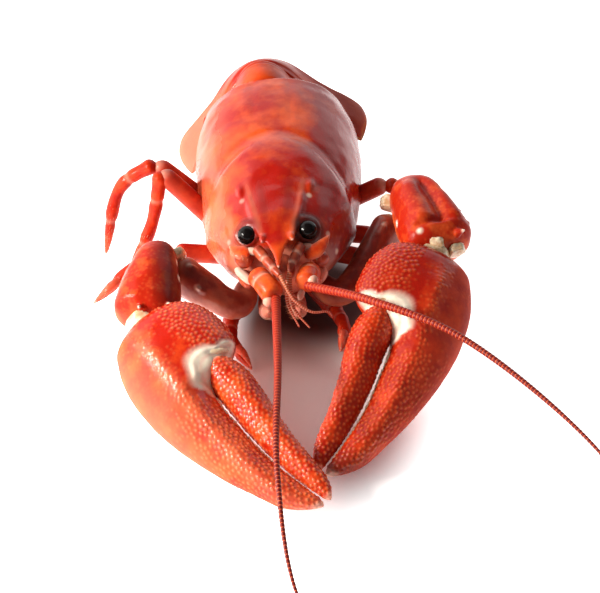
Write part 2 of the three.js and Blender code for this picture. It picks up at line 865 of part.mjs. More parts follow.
function build() {
  const crayfish = new THREE.Group();
  const lean = new THREE.Group();
  lean.applyMatrix4(bodyPlace());
  lean.updateMatrix();
  crayfish.add(lean);

  lean.add(mesh("carapace", geometryOf(carapace(lean)), SHELL_RED));
  for (const [name, side] of SIDES) lean.add(mesh(`eye_${name}`, geometryOf(eye(side)), EYE_BLACK, 0.1));

  const tail = new THREE.Group();
  tail.position.copy(CURL_CENTRE);
  tail.rotation.set(0, TAIL_TWIST, TAIL_YAW);
  tail.updateMatrix();
  lean.add(tail);
  let before = solid(shellSkin(GAP).applyMatrix4(tail.matrix.clone().invert()));
  for (const band of TAIL_BANDS) {
    tail.add(mesh(band.name, geometryOf(mainBody(solid(tailBand(band)).subtract(before))), SHELL_RED));
    before = before.add(solid(tailBand(band, FLAP_GAP)));
  }
  const fan = new THREE.Group();
  fan.rotation.z = TAIL_YAW + BODY_TURN;
  crayfish.add(fan);
  let taken = solid(fanBlade(FAN_BLADES[0], FLAP_GAP));
  fan.add(mesh(FAN_BLADES[0].name, fanBlade(FAN_BLADES[0]), SHELL_RED));
  for (const blade of FAN_BLADES.slice(1)) {
    fan.add(mesh(blade.name, geometryOf(mainBody(solid(fanBlade(blade)).subtract(taken))), SHELL_RED));
    taken = taken.add(solid(fanBlade(blade, FLAP_GAP)));
  }

  const shellRoom = shellSkin(GAP).applyMatrix4(lean.matrix);
  const room = solid(shellRoom);
  for (const [name, side] of SIDES) {
    crayfish.add(clawArm(name, ARMS[name], shellRoom));
    LEGS[name].forEach((leg, i) => crayfish.add(...walkingLeg(name, i + 1, leg, room)));
    const stem = solid(feelerRoot(name)).subtract(room);
    crayfish.add(mesh(`feeler_root_${name}`, geometryOf(mainBody(stem)), FEELER_ORANGE));
    const stemRoom = solid(feelerRoot(name, GAP));
    const whip = solid(feeler(name)).subtract(stemRoom);
    crayfish.add(mesh(`feeler_${name}`, geometryOf(mainBody(whip)), FEELER_ORANGE));
    const plate = solid(scalePlate(name)).subtract(stemRoom).subtract(room);
    crayfish.add(mesh(`feeler_scale_${name}`, geometryOf(mainBody(plate)), FEELER_ORANGE));
    const small = solid(smallFeeler(name)).subtract(stemRoom).subtract(room);
    crayfish.add(mesh(`small_feeler_${name}`, geometryOf(mainBody(small)), FEELER_ORANGE));
    const mouth = solid(mouthLeg(side)).subtract(room);
    crayfish.add(mesh(`mouth_leg_${name}`, geometryOf(mainBody(mouth)), LEG_RED));
  }
  return crayfish;
}

export default build();
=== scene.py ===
# %% [markdown]
# # A cooked crayfish
# A whole crayfish, boiled red, lies on its belly with its tail curled under and its claws laid together in
# front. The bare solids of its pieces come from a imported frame, at their real size and in their real place.
# Each step of this lesson makes the finer skin of one piece and puts it in the place of its solids. Shapes
# are worked out in millimetres, and a finished piece is scaled to metres.

# %% Frame and libraries
import math

import bmesh
import bpy
import numpy as np
from mathutils import Matrix, Vector


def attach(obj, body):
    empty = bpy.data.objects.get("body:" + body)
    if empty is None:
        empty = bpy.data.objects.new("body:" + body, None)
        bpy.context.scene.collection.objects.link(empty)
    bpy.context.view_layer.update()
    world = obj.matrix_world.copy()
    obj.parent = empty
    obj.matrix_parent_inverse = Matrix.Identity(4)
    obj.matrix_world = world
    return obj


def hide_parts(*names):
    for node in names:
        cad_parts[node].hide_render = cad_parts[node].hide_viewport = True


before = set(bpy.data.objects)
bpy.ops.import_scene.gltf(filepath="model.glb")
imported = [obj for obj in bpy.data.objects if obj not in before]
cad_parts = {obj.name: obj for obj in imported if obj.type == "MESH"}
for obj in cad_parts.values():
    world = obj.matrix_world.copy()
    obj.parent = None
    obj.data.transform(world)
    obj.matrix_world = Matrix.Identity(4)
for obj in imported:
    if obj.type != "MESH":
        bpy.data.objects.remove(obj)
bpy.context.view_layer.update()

MM = 0.001
SIDES = {"left": -1, "right": 1}

# %% [markdown]
# ## Camera
# The picture was taken with a long lens, from 38 degrees above the table and a little to the left. A long
# lens keeps the claws from looking larger than the tail. A camera can be flown to its place by hand. Here it
# is placed by its distance and its two angles from a point between the claws, so each number can be read off
# and changed on its own.

# %% Camera
CAMERA_AIM = Vector((2.8, -25, 12))
CAMERA_DISTANCE = 360
CAMERA_RISE = math.radians(38)
CAMERA_TURN = math.radians(-4)
CAMERA_LENS = 121.8
CAMERA_NEAR = 10


def looking(thing, place, aim):
    """Puts a camera or a light at a place in millimetres and turns it to face its aim."""
    thing.location = place * MM
    thing.rotation_euler = (aim - place).to_track_quat("-Z", "Y").to_euler()
    bpy.context.scene.collection.objects.link(thing)


camera = bpy.data.objects.new("camera", bpy.data.cameras.new("camera"))
camera.data.lens = CAMERA_LENS
camera.data.sensor_fit = "HORIZONTAL"
camera.data.clip_start = CAMERA_NEAR * MM
toward = Vector((math.sin(CAMERA_TURN), -math.cos(CAMERA_TURN), math.tan(CAMERA_RISE))).normalized()
looking(camera, CAMERA_AIM + CAMERA_DISTANCE * toward, CAMERA_AIM)
bpy.context.scene.camera = camera
print("camera at", tuple(round(x) for x in camera.location / MM), "mm")

# %% [markdown]
# ## Light
# The shell is wet, so it mirrors its lights. A bright lamp on the left gives the small hard glints and turns
# the left flank orange. Wide dim sheets to the left and behind lay a pale sheen over the back, and a faint
# one stands to the right. The camera's side stays dark, which keeps the faces that look at it a deep red. A
# lamp could be set by its power. Here it is set by the glow of its sheet, and the power is worked out from
# that, so a lamp can be made larger without changing how bright its sheen is.

# %% Light
LAMP_AIM = Vector((0, -25, 8))
# Place, width, height, glow and tint of each lamp
LAMPS = {
    "left lamp": (Vector((-148, -60, 98)), 80, 32, 54.0, (1.0, 0.95, 0.87)),
    "low left sheet": (Vector((-560, -40, 90)), 1100, 180, 3.0, (1.0, 0.95, 0.88)),
    "left sheet": (Vector((-720, 60, 470)), 1200, 900, 1.2, (1.0, 0.96, 0.9)),
    "back sheet": (Vector((40, 760, 460)), 2200, 900, 1.1, (1.0, 1.0, 1.0)),
    "right sheet": (Vector((780, 320, 330)), 1200, 800, 0.25, (1.0, 0.97, 0.95)),
}
WORLD_LIGHT = 0.1

for name, (place, wide, tall, glow, tint) in LAMPS.items():
    lamp = bpy.data.objects.new(name, bpy.data.lights.new(name, "AREA"))
    lamp.data.shape = "RECTANGLE"
    lamp.data.size = wide * MM
    lamp.data.size_y = tall * MM
    lamp.data.energy = glow * math.pi * wide * tall * MM**2
    lamp.data.color = tint
    looking(lamp, place, LAMP_AIM)

world = bpy.data.worlds.new("room")
world.use_nodes = True
world.node_tree.nodes["Background"].inputs["Color"].default_value = (1, 1, 1, 1)
world.node_tree.nodes["Background"].inputs["Strength"].default_value = WORLD_LIGHT
bpy.context.scene.world = world
bpy.context.scene.view_settings.view_transform = "Standard"
print("lamps:", ", ".join(LAMPS))

# %% [markdown]
# ## Shader formulas
# A finish mixes many small patterns: mottling, grains, pale joints. Written as chains of node calls such a
# mix is hard to read. A small class wraps one output socket, so that a sum of patterns is written as a sum,
# and each operator adds its own Math node. Colours go through Mix nodes, which keep their hue.


# %% Flow: sockets with operators
class Flow:
    """An output socket that formulas can be written with; each operator adds a Math node to its tree."""

    def __init__(self, tree, socket=None):
        self.tree = tree
        self.socket = socket

    def node(self, kind, settings=None, inputs=None, out=0):
        """Adds any node: its settings first, then the values or links of its sockets."""
        made = self.tree.nodes.new(kind)
        for name, value in (settings or {}).items():
            setattr(made, name, value)
        for key, value in (inputs or {}).items():
            if isinstance(value, Flow):
                self.tree.links.new(value.socket, made.inputs[key])
            else:
                made.inputs[key].default_value = value
        return Flow(self.tree, made.outputs[out] if made.outputs else None)

    def math(self, operation, first, second=0.0):
        return self.node("ShaderNodeMath", {"operation": operation}, {0: first, 1: second})

    def __add__(self, other):
        return self.math("ADD", self, other)

    __radd__ = __add__

    def __sub__(self, other):
        return self.math("SUBTRACT", self, other)

    def __rsub__(self, other):
        return self.math("SUBTRACT", other, self)

    def __mul__(self, other):
        return self.math("MULTIPLY", self, other)

    def __pow__(self, other):
        return self.math("POWER", self, other)

    def clamped(self):
        return self.node("ShaderNodeClamp", inputs={0: self})

    def mix(self, first, second):
        """The first colour where this value is 0, and the second where it is 1."""
        return self.node("ShaderNodeMix", {"data_type": "RGBA"}, {0: self, 6: first, 7: second}, out=2)

    def spread(self, low, high):
        """This value stretched so that low becomes 0 and high becomes 1, with a soft step between."""
        settings = {"interpolation_type": "SMOOTHSTEP"}
        return self.node("ShaderNodeMapRange", settings, {0: self, 1: low, 2: high})


def paint(red, green, blue):
    """A colour given as screen values up to 255, for a shader socket."""
    share = [x / 255 for x in (red, green, blue)]
    return (*[x / 12.92 if x < 0.04045 else ((x + 0.055) / 1.055) ** 2.4 for x in share], 1.0)


print("a red shell colour as the shader reads it:", [round(x, 3) for x in paint(200, 50, 30)])

# %% [markdown]
# ## Finishes
# Boiling turns the shell red because its red pigment comes loose. The colour is uneven: deep red on the
# back, orange and salmon low on the flanks, cream at the joints and on the patch beside each claw's hinge.
# On top of that, shade is painted in: a dark red-brown in the hollows and on sides turned from the lamps,
# and some paler salmon on the lit left side is painted light. It could be painted as an image. Here the
# meshes carry marks on their points instead, so the pattern follows the shape: pale, cream, deep, dull, the
# painted shade and granule, each from 0 to 1. One function reads them and makes all the shell finishes. A
# thin clear coat makes the shell look wet.


# %% Parts of every finish
def material_flow(name):
    """A new empty material and a flow in its tree."""
    made = bpy.data.materials.new(name)
    made.use_nodes = True
    made.node_tree.nodes.clear()
    return made, Flow(made.node_tree)


def finished(flow, **sockets):
    """Ends a material: a Principled shader with these sockets, then the output."""
    inputs = {name.replace("_", " "): value for name, value in sockets.items()}
    shader = flow.node("ShaderNodeBsdfPrincipled", inputs=inputs)
    flow.node("ShaderNodeOutputMaterial", inputs={"Surface": shader})


def mark(flow, name):
    return flow.node("ShaderNodeAttribute", {"attribute_name": name}, out="Fac")


def noise(flow, size, detail=3.0):
    """Cloudy noise whose blots are about `size` millimetres across."""
    place = flow.node("ShaderNodeTexCoord", out="Object")
    inputs = {"Vector": place, "Scale": 1 / (size * MM), "Detail": detail, "Roughness": 0.55}
    return flow.node("ShaderNodeTexNoise", inputs=inputs)


def bump(flow, strength, depth, height):
    """Fine relief in the finish alone, up to a depth in millimetres."""
    inputs = {"Strength": strength, "Distance": depth * MM, "Height": height}
    return flow.node("ShaderNodeBump", inputs=inputs)


# The third colour is the dark red-brown of painted shade, not a colour of the shell.
CREAM, SALMON, SHADE_PAINT = paint(255, 240, 218), paint(228, 126, 94), paint(66, 10, 6)
print("cream as the shader reads it:", [round(x, 3) for x in CREAM])

# %% Shell finishes
SHELL_PITS = 0.05
SHELL_COAT = 0.12
SHELL_GLOSS = {"IOR": 1.45, "Coat Roughness": 0.08}
SHELL_DEPTH = {
    "Subsurface Weight": 0.1,
    "Subsurface Radius": (1.0, 0.35, 0.2),
    "Subsurface Scale": 0.8 * MM,
}
# Deep colour, bright colour, colour of the grains, size of the blots, roughness and gloss
SHELL_LOOKS = {
    "carapace": ((172, 22, 8), (230, 86, 26), (236, 108, 46), 7, 0.24, 0.33),
    "tail": ((176, 32, 12), (222, 76, 26), (232, 108, 50), 6, 0.34, 0.18),
    # The two claws are one shell: the left claw is painted lighter and more orange as the lit one, with paler
    # grain tips as painted highlight, and the right claw darker as the one in shade.
    "left claw": ((190, 30, 10), (234, 84, 30), (255, 160, 100), 4, 0.24, 0.34),
    "right claw": ((168, 24, 8), (208, 58, 18), (240, 126, 70), 4, 0.24, 0.28),
    "wrist": ((182, 36, 14), (238, 100, 44), (236, 108, 58), 4, 0.32, 0.11),
    "arm": ((124, 42, 30), (172, 94, 68), (184, 108, 80), 4, 0.3, 0.4),
    "leg": ((164, 22, 8), (204, 58, 20), (232, 110, 56), 3, 0.36, 0.1),
    "face": ((140, 34, 16), (200, 82, 42), (220, 120, 70), 1.5, 0.3, 0.4),
    "feeler": ((208, 56, 16), (236, 98, 36), (240, 150, 84), 2, 0.34, 0.2),
}


def shell_finish(name, deep, bright, tip, mottle, rough, gloss):
    """Wet cooked shell: mottled between deep and bright, with lighter grains, salmon and cream parts."""
    made, flow = material_flow(name)
    pale, cream, deep_red_and_shade, grain = (mark(flow, x) for x in ("pale", "cream", "deep", "granule"))
    dull, painted_shade = (mark(flow, x) for x in ("dull", "painted_shade"))
    blots = noise(flow, mottle)
    specks = noise(flow, 0.5, 2.0)
    # The deep mark is the shell's own deep red on claws and limbs, and painted shade on the carapace.
    share = (blots.spread(0.3, 0.72) + (specks - 0.5) * 0.25 - deep_red_and_shade * 0.8).clamped()
    colour = share.mix(paint(*deep), paint(*bright))
    colour = (grain * 0.5).mix(colour, paint(*tip))
    colour = (pale * (0.75 + blots * 0.4)).clamped().mix(colour, SALMON)
    # Painted shade: the dark red-brown is mixed in where the shade mark is set.
    colour = (painted_shade * (0.7 + blots * 0.5)).clamped().mix(colour, SHADE_PAINT)
    colour = (cream * (0.85 + specks * 0.3)).clamped().mix(colour, CREAM)
    worn = cream * 0.1 + pale * 0.2 + (dull + painted_shade * 0.6) * 0.42
    rougher = rough + (blots - 0.5) * 0.12 + worn - grain * 0.12
    fine = noise(flow, 0.35, 2.0) + noise(flow, 1.6, 2.0) * 1.5
    pits = bump(flow, 0.5, SHELL_PITS, fine)
    sockets = {"Base_Color": colour, "Roughness": rougher, "Coat_Weight": (1.0 - dull) * SHELL_COAT}
    finished(flow, **sockets, Normal=pits, Specular_IOR_Level=gloss, **SHELL_GLOSS, **SHELL_DEPTH)
    return made


SHELL = {name: shell_finish(f"{name} shell", *look) for name, look in SHELL_LOOKS.items()}
print("shell finishes:", ", ".join(SHELL))

# %% [markdown]
# The eyes are black and polished, the skin of the joints is soft cream, and bristles are thin and fair. The
# long feelers are rings of shell: their finish reads where on the whip a place is and where in its ring. The
# same large function could serve here too, but most of its marks would lie idle, so each gets a short one.


# %% Eye, joint skin, bristle and whip finishes
def eye_finish():
    """Shiny black where the mesh is marked as cornea, and a dull flesh-coloured stalk elsewhere."""
    made, flow = material_flow("eye")
    cornea = mark(flow, "cornea")
    flesh = noise(flow, 0.6).mix(paint(150, 70, 50), paint(210, 150, 120))
    black = noise(flow, 0.3).mix(paint(8, 6, 6), paint(22, 16, 15))
    rough = 0.35 - cornea * 0.27
    finished(flow, Base_Color=cornea.mix(flesh, black), Roughness=rough, IOR=1.4, Specular_IOR_Level=0.25)
    return made


def soft_finish(name, first, second, rough, size):
    """A soft uneven surface between two colours."""
    made, flow = material_flow(name)
    blots = noise(flow, size)
    colour = blots.spread(0.3, 0.7).mix(paint(*first), paint(*second))
    sockets = {"Roughness": rough + blots * 0.1, "Normal": bump(flow, 0.4, 0.08, blots), "Coat_Weight": 0.5}
    finished(flow, Base_Color=colour, **sockets, **SHELL_DEPTH)
    return made


def whip_finish(name, root, end, seam):
    """Rings of shell, one colour at the root and another further out, with lighter seams between them."""
    made, flow = material_flow(name)
    along, ring = mark(flow, "along"), mark(flow, "ring")
    body = along.spread(0.03, 0.5).mix(paint(*root), paint(*end))
    colour = ring.spread(0.25, 0.75).mix(paint(*seam), body)
    finished(flow, Base_Color=colour, Roughness=0.5 - ring * 0.12, IOR=1.4, Specular_IOR_Level=0.3)
    return made


EYE = eye_finish()
JOINT = soft_finish("joint skin", (222, 176, 128), (250, 230, 200), 0.3, 1.2)
BRISTLE = soft_finish("bristle", (170, 96, 62), (226, 176, 140), 0.45, 2.0)
WHIP = whip_finish("whip rings", (168, 32, 12), (116, 14, 10), (216, 94, 52))
THIN_WHIP = whip_finish("thin whip rings", (206, 104, 66), (198, 92, 66), (240, 186, 160))
print("other finishes:", ", ".join(m.name for m in (EYE, JOINT, BRISTLE, WHIP, THIN_WHIP)))

# %% [markdown]
# ## Floor
# The animal lies on a white table that is burnt out in the picture. Stronger lamps would burn it out too,
# but they would bleach the shell. So the floor glows by itself, except in an oval of shade under the animal.
# A second oval, under the head, is painted dark, since hardly any light gets in there.

# %% Floor
FLOOR_SIDE, FLOOR_GLOW = 6000, 0.97
FLOOR_GREYS = (0.93, 0.93, 0.93, 1), (0.96, 0.96, 0.96, 1)
FLOOR_DARK = (0.08, 0.022, 0.018, 1)
SHADE_CENTRE, SHADE_REACH = (7, -28, 0), (16.5, 36)
DARK_CENTRE, DARK_REACH = (7, -10, 0), (19, 21)


def away(flow, centre, reach):
    """How far a place on the floor is from the middle of an oval, 1 on the oval itself."""
    spot = flow.node("ShaderNodeTexCoord", out="Object")
    middle = tuple(x * MM for x in centre)
    shares = (*(1 / (x * MM) for x in reach), 0)
    offset = flow.node("ShaderNodeVectorMath", {"operation": "SUBTRACT"}, {0: spot, 1: middle})
    scaled = flow.node("ShaderNodeVectorMath", {"operation": "MULTIPLY"}, {0: offset, 1: shares})
    return flow.node("ShaderNodeVectorMath", {"operation": "LENGTH"}, {0: scaled}, out="Value")


def floor_finish():
    made, flow = material_flow("white table")
    haze = noise(flow, 90).mix(*FLOOR_GREYS)
    ground = away(flow, DARK_CENTRE, DARK_REACH).spread(0.4, 1.15).mix(FLOOR_DARK, haze)
    glow = away(flow, SHADE_CENTRE, SHADE_REACH).spread(0.75, 1.25).mix((0, 0, 0, 1), (1, 1, 1, 1))
    finished(flow, Base_Color=ground, Roughness=0.6, Emission_Color=glow, Emission_Strength=FLOOR_GLOW)
    return made


def linked(name, mesh):
    """A new object in the scene that shows a mesh."""
    made = bpy.data.objects.new(name, mesh)
    bpy.context.scene.collection.objects.link(made)
    return made


half = FLOOR_SIDE * MM / 2
floor_mesh = bpy.data.meshes.new("floor")
corners = [(-half, -half, 0), (half, -half, 0), (half, half, 0), (-half, half, 0)]
floor_mesh.from_pydata(corners, [], [(0, 1, 2, 3)])
floor_mesh.materials.append(floor_finish())
floor = linked("floor", floor_mesh)
print("floor", FLOOR_SIDE, "mm square")

# %% [markdown]
# ## Shapes from a few stations
# Each piece of shell is a tube that swells, narrows and bends. It could be sculpted by hand. Here its
# half-width and half-height are given at a few stations along it, and a smooth line is drawn through them.
# The solids were made from stations too, so the fine skins lie where the solids are; here they are read at
# many more places.


# %% Smooth lines and domes
def through(stations, t):
    """Value at t of a smooth line through (place, value) stations; one number is the same all along."""
    t = np.asarray(t, float)
    if np.isscalar(stations):
        return np.full_like(t, stations)
    place, value = np.array(stations, float).T
    last = len(place) - 1
    before = np.r_[0, np.arange(last)]
    after = np.r_[np.arange(1, last + 1), last]
    slope = (value[after] - value[before]) / (place[after] - place[before])
    t = np.clip(t, place[0], place[-1])
    i = np.clip(np.searchsorted(place, t, side="right") - 1, 0, last - 1)
    span = place[i + 1] - place[i]
    f = (t - place[i]) / span
    leave = (1 + 2 * f) * (1 - f) ** 2 * value[i] + f * (1 - f) ** 2 * span * slope[i]
    return leave + f * f * (3 - 2 * f) * value[i + 1] + f * f * (f - 1) * span * slope[i + 1]


def bow(x, power):
    """A power that keeps the sign: below 1 it squares a round section off, above 1 it pinches it."""
    return np.sign(x) * np.abs(x) ** power


def bell(x, spread):
    return np.exp(-((x / spread) ** 2))


def bands(t, places, spread):
    """1 at each of a few places along a limb, falling off on either side."""
    return sum(bell(t - place, spread) for place in places)


def capped(x):
    return np.clip(x, 0, 1)


def ease(low, high, x):
    """0 at low, 1 at high and beyond, with a smooth step between; high may be the smaller one."""
    f = capped((x - low) / (high - low))
    return f * f * (3 - 2 * f)


def placed(steps):
    """Places from 0 to 1, closer together at both ends, where the domes need them."""
    return 0.5 - 0.5 * np.cos(np.pi * np.linspace(0, 1, steps + 1))


def around_angles(count):
    return np.linspace(0, 2 * np.pi, count, endpoint=False)


def dome(t, caps):
    """How far a ring has opened at t, with a round dome over a share of each end."""
    ends = [capped(x) for x in (t / caps[0], (1 - t) / caps[1])]
    return np.minimum(*[np.sqrt(1 - (1 - x) ** 2) for x in ends])


def unit(vectors):
    return vectors / np.linalg.norm(vectors, axis=-1, keepdims=True)


print("dome half-way up its cap:", round(float(dome(np.array(0.05), (0.1, 0.1))), 3))


# %% Routes and limbs
class Route:
    """A smooth line through a few points, read by the share of its length."""

    def __init__(self, points, fine=64):
        p = np.array(points, float)
        p = np.vstack([2 * p[0] - p[1], p, 2 * p[-1] - p[-2]])
        f = np.linspace(0, 1, fine, endpoint=False)[:, None]
        parts = []
        for a, b, c, d in zip(p, p[1:], p[2:], p[3:]):
            ab, bc, cd = (np.sqrt(np.linalg.norm(y - x)) for x, y in ((a, b), (b, c), (c, d)))
            leave = ((b - a) / ab - (c - a) / (ab + bc) + (c - b) / bc) * bc
            reach = ((c - b) / bc - (d - b) / (bc + cd) + (d - c) / cd) * bc
            bend = (3 * (c - b) - 2 * leave - reach) * f**2 + (2 * (b - c) + leave + reach) * f**3
            parts.append(b + leave * f + bend)
        self.points = np.vstack([*parts, p[-2:-1]])
        steps = np.linalg.norm(np.diff(self.points, axis=0), axis=1)
        self.length = steps.sum()
        self.share = np.append(0, np.cumsum(steps)) / self.length

    def at(self, t):
        return np.stack([np.interp(t, self.share, axis) for axis in self.points.T], -1)

    def heading(self, t, reach=0.004):
        return unit(self.at(np.minimum(1, t + reach)) - self.at(np.maximum(0, t - reach)))

    def frame(self, t, up):
        """The directions along, to the side and up at places of the line."""
        heading = self.heading(t)
        side = unit(np.cross(heading, up))
        return heading, side, np.cross(side, heading)


UP = (0, 0, 1)


def limb(points, width, height, up=UP, power=1.0, caps=(0.15, 0.15), around=40, steps=60, relief=None):
    """Rings of half-width and half-height swept along a route: the rings, their places and their angles."""
    route = Route(points)
    _, side, top = route.frame(placed(steps), up)
    t, angle = np.meshgrid(placed(steps), around_angles(around), indexing="ij")
    swell = relief(t, angle) if relief else 0
    wide = (through(width, t) + swell) * dome(t, caps) * bow(np.cos(angle), power)
    high = (through(height, t) + swell) * dome(t, caps) * bow(np.sin(angle), power)
    rings = route.at(t) + side[:, None] * wide[..., None] + top[:, None] * high[..., None]
    return rings, t, angle


corner = Route([(0, 0, 0), (10, 0, 0), (10, 10, 0)])
print("a route round a corner with arms of 10 mm:", round(corner.length, 1), "mm")

# %% [markdown]
# Rings of points are not a mesh yet. A curve with a bevel could sweep them, but it keeps no marks on its
# points. So the faces between the rings are listed here, and the marks are stored with the points. A second
# cell has the tools that join pieces, fuse them and hand them to the frame.


# %% Meshes from rings
def packed(grid):
    """Rings of values as one list, with a single value for the point at either end."""
    return np.concatenate([grid[:1].mean(1), grid[1:-1].reshape(-1, *grid.shape[2:]), grid[-1:].mean(1)])


def skin(name, rings, marks=None):
    """A closed mesh from rings of points that pinch to a point at either end; marks stay on its points."""
    count = rings.shape[1]
    points = packed(rings)
    row = 1 + count * np.arange(rings.shape[0] - 2)[:, None]
    here = np.arange(count)
    after = np.roll(here, -1)
    quads = np.stack([row[:-1] + here, row[:-1] + after, row[1:] + after, row[1:] + here], -1)
    quads = quads.reshape(-1, 4)
    first = np.stack([np.zeros(count, int), 1 + after, 1 + here], -1)
    last = np.stack([row[-1] + here, row[-1] + after, np.full(count, len(points) - 1)], -1)
    corners = np.concatenate([quads[:, :3], quads[:, [0, 2, 3]], first, last])
    a, b, c = (points[corners[:, k]] for k in range(3))
    turn = -1 if np.einsum("ij,ij->", a, np.cross(b, c)) < 0 else 1
    mesh = bpy.data.meshes.new(name)
    faces = [face for group in (quads, first, last) for face in group[:, ::turn].tolist()]
    mesh.from_pydata(points, [], faces)
    marked(mesh, {key: packed(np.broadcast_to(x, rings.shape[:2])) for key, x in (marks or {}).items()})
    return linked(name, mesh)


def marked(mesh, marks):
    """Keeps one number for each point of a mesh under each name."""
    for name, values in marks.items():
        layer = mesh.attributes.get(name) or mesh.attributes.new(name, "FLOAT", "POINT")
        layer.data.foreach_set("value", np.ascontiguousarray(values, np.float32))


def points_of(mesh):
    flat = np.empty(3 * len(mesh.vertices), np.float32)
    mesh.vertices.foreach_get("co", flat)
    return flat.reshape(-1, 3).astype(float)


print("a skin of 3 rings of 4 points packs into", len(packed(np.zeros((3, 4, 3)))), "points")


# %% Joining, fusing and settling
def applied(piece):
    """Turns what a piece's modifiers make into its own plain mesh."""
    graph = bpy.context.evaluated_depsgraph_get()
    shown = piece.evaluated_get(graph)
    mesh = bpy.data.meshes.new_from_object(shown, preserve_all_data_layers=True, depsgraph=graph)
    piece.modifiers.clear()
    piece.data = mesh
    return piece


def joined(name, pieces):
    """One piece from several, which are then gone."""
    whole = bmesh.new()
    for piece in pieces:
        whole.from_mesh(piece.data)
        bpy.data.objects.remove(piece)
    mesh = bpy.data.meshes.new(name)
    whole.to_mesh(mesh)
    whole.free()
    return linked(name, mesh)


def fused(name, pieces, voxel, rounds):
    """Overlapping closed pieces as one skin: a voxel remesh joins them, smoothing takes the steps off."""
    made = joined(name, pieces)
    remesh = made.modifiers.new("fuse", "REMESH")
    remesh.mode = "VOXEL"
    remesh.voxel_size = voxel
    smooth = made.modifiers.new("smooth", "SMOOTH")
    smooth.factor = 0.5
    smooth.iterations = rounds
    return applied(made)


def lifted(mesh):
    """Bends whatever would reach under the table up to it."""
    points = points_of(mesh)
    points[:, 2] = np.maximum(points[:, 2], 0)
    mesh.vertices.foreach_set("co", points.astype(np.float32).ravel())


def settle(piece, slot, nodes=(), finish=None, place=None):
    """Scales a finished piece to metres, in its place, and hands it to the frame."""
    piece.data.transform(Matrix.Scale(MM, 4) @ (place or Matrix()))
    lifted(piece.data)
    if finish:
        piece.data.materials.append(finish)
    piece.data.shade_smooth()
    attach(piece, "root")
    if nodes:
        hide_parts(*nodes)
    print(f"{piece.name}: {len(piece.data.vertices)} points")


print("tools for pieces:", ", ".join(tool.__name__ for tool in (applied, joined, fused, settle)))

# %% [markdown]
# ## Grains, rings, bristles and teeth with Geometry Nodes
# Four things repeat over the animal by the hundred. Grains roughen the shell, rings make up the feelers,
# bristles fringe the mouth, the legs and the tail, and small teeth line the fixed fingers. Placing copies
# by hand would take long, and every change would mean placing them again. Each is a node tree instead, with
# named sizes and a fixed seed. Grains are scattered on the skin, and the skin is raised near each of them,
# so they are true relief. The same tree gives the skin a soft ripple, because no shell is quite smooth.

# %% Parts of every node tree
FLOAT, WHOLE, FINISH = "NodeSocketFloat", "NodeSocketInt", "NodeSocketMaterial"


def new_tree(name, inputs):
    """An empty geometry tree with named inputs: a flow in it and the flows of its inputs."""
    tree = bpy.data.node_groups.new(name, "GeometryNodeTree")
    tree.interface.new_socket("Geometry", in_out="OUTPUT", socket_type="NodeSocketGeometry")
    for label, kind in {"Geometry": "NodeSocketGeometry", **inputs, "Finish": FINISH}.items():
        tree.interface.new_socket(label, in_out="INPUT", socket_type=kind)
    source = tree.nodes.new("NodeGroupInput")
    return Flow(tree), {socket.name: Flow(tree, socket) for socket in source.outputs if socket.name}


def ended(flow, given, geometry):
    """Ends a tree: real meshes instead of instances, with their finish."""
    real = flow.node("GeometryNodeRealizeInstances", inputs={"Geometry": geometry})
    dressed = flow.node("GeometryNodeSetMaterial", inputs={"Geometry": real, "Material": given["Finish"]})
    flow.node("NodeGroupOutput", inputs={0: dressed})
    return flow.tree


def named(flow, name):
    return flow.node("GeometryNodeInputNamedAttribute", {"data_type": "FLOAT"}, {"Name": name})


def stored(flow, geometry, name, value):
    settings = {"data_type": "FLOAT", "domain": "POINT"}
    inputs = {"Geometry": geometry, "Name": name, "Value": value}
    return flow.node("GeometryNodeStoreNamedAttribute", settings, inputs)


def random_size(flow, low, high, **inputs):
    """A random number for each copy."""
    return flow.node("FunctionNodeRandomValue", {"data_type": "FLOAT"}, {2: low, 3: high, **inputs}, out=1)


def grown(piece, tree, **inputs):
    """Runs a tree on a piece, with its named inputs, and keeps the result as a plain mesh."""
    modifier = piece.modifiers.new(tree.name, "NODES")
    modifier.node_group = tree
    for item in tree.interface.items_tree:
        if item.in_out == "INPUT" and item.name in inputs:
            modifier[item.identifier] = inputs[item.name]
    return applied(piece)


print("each tree has a socket of this kind for its finish:", FINISH)

# %% Grains
RIPPLE_SIZE = 5
GRAIN_DENSITY = 12.0
GRAIN_SIZES = ("Spacing", "Reach", "Height", "Ripple")


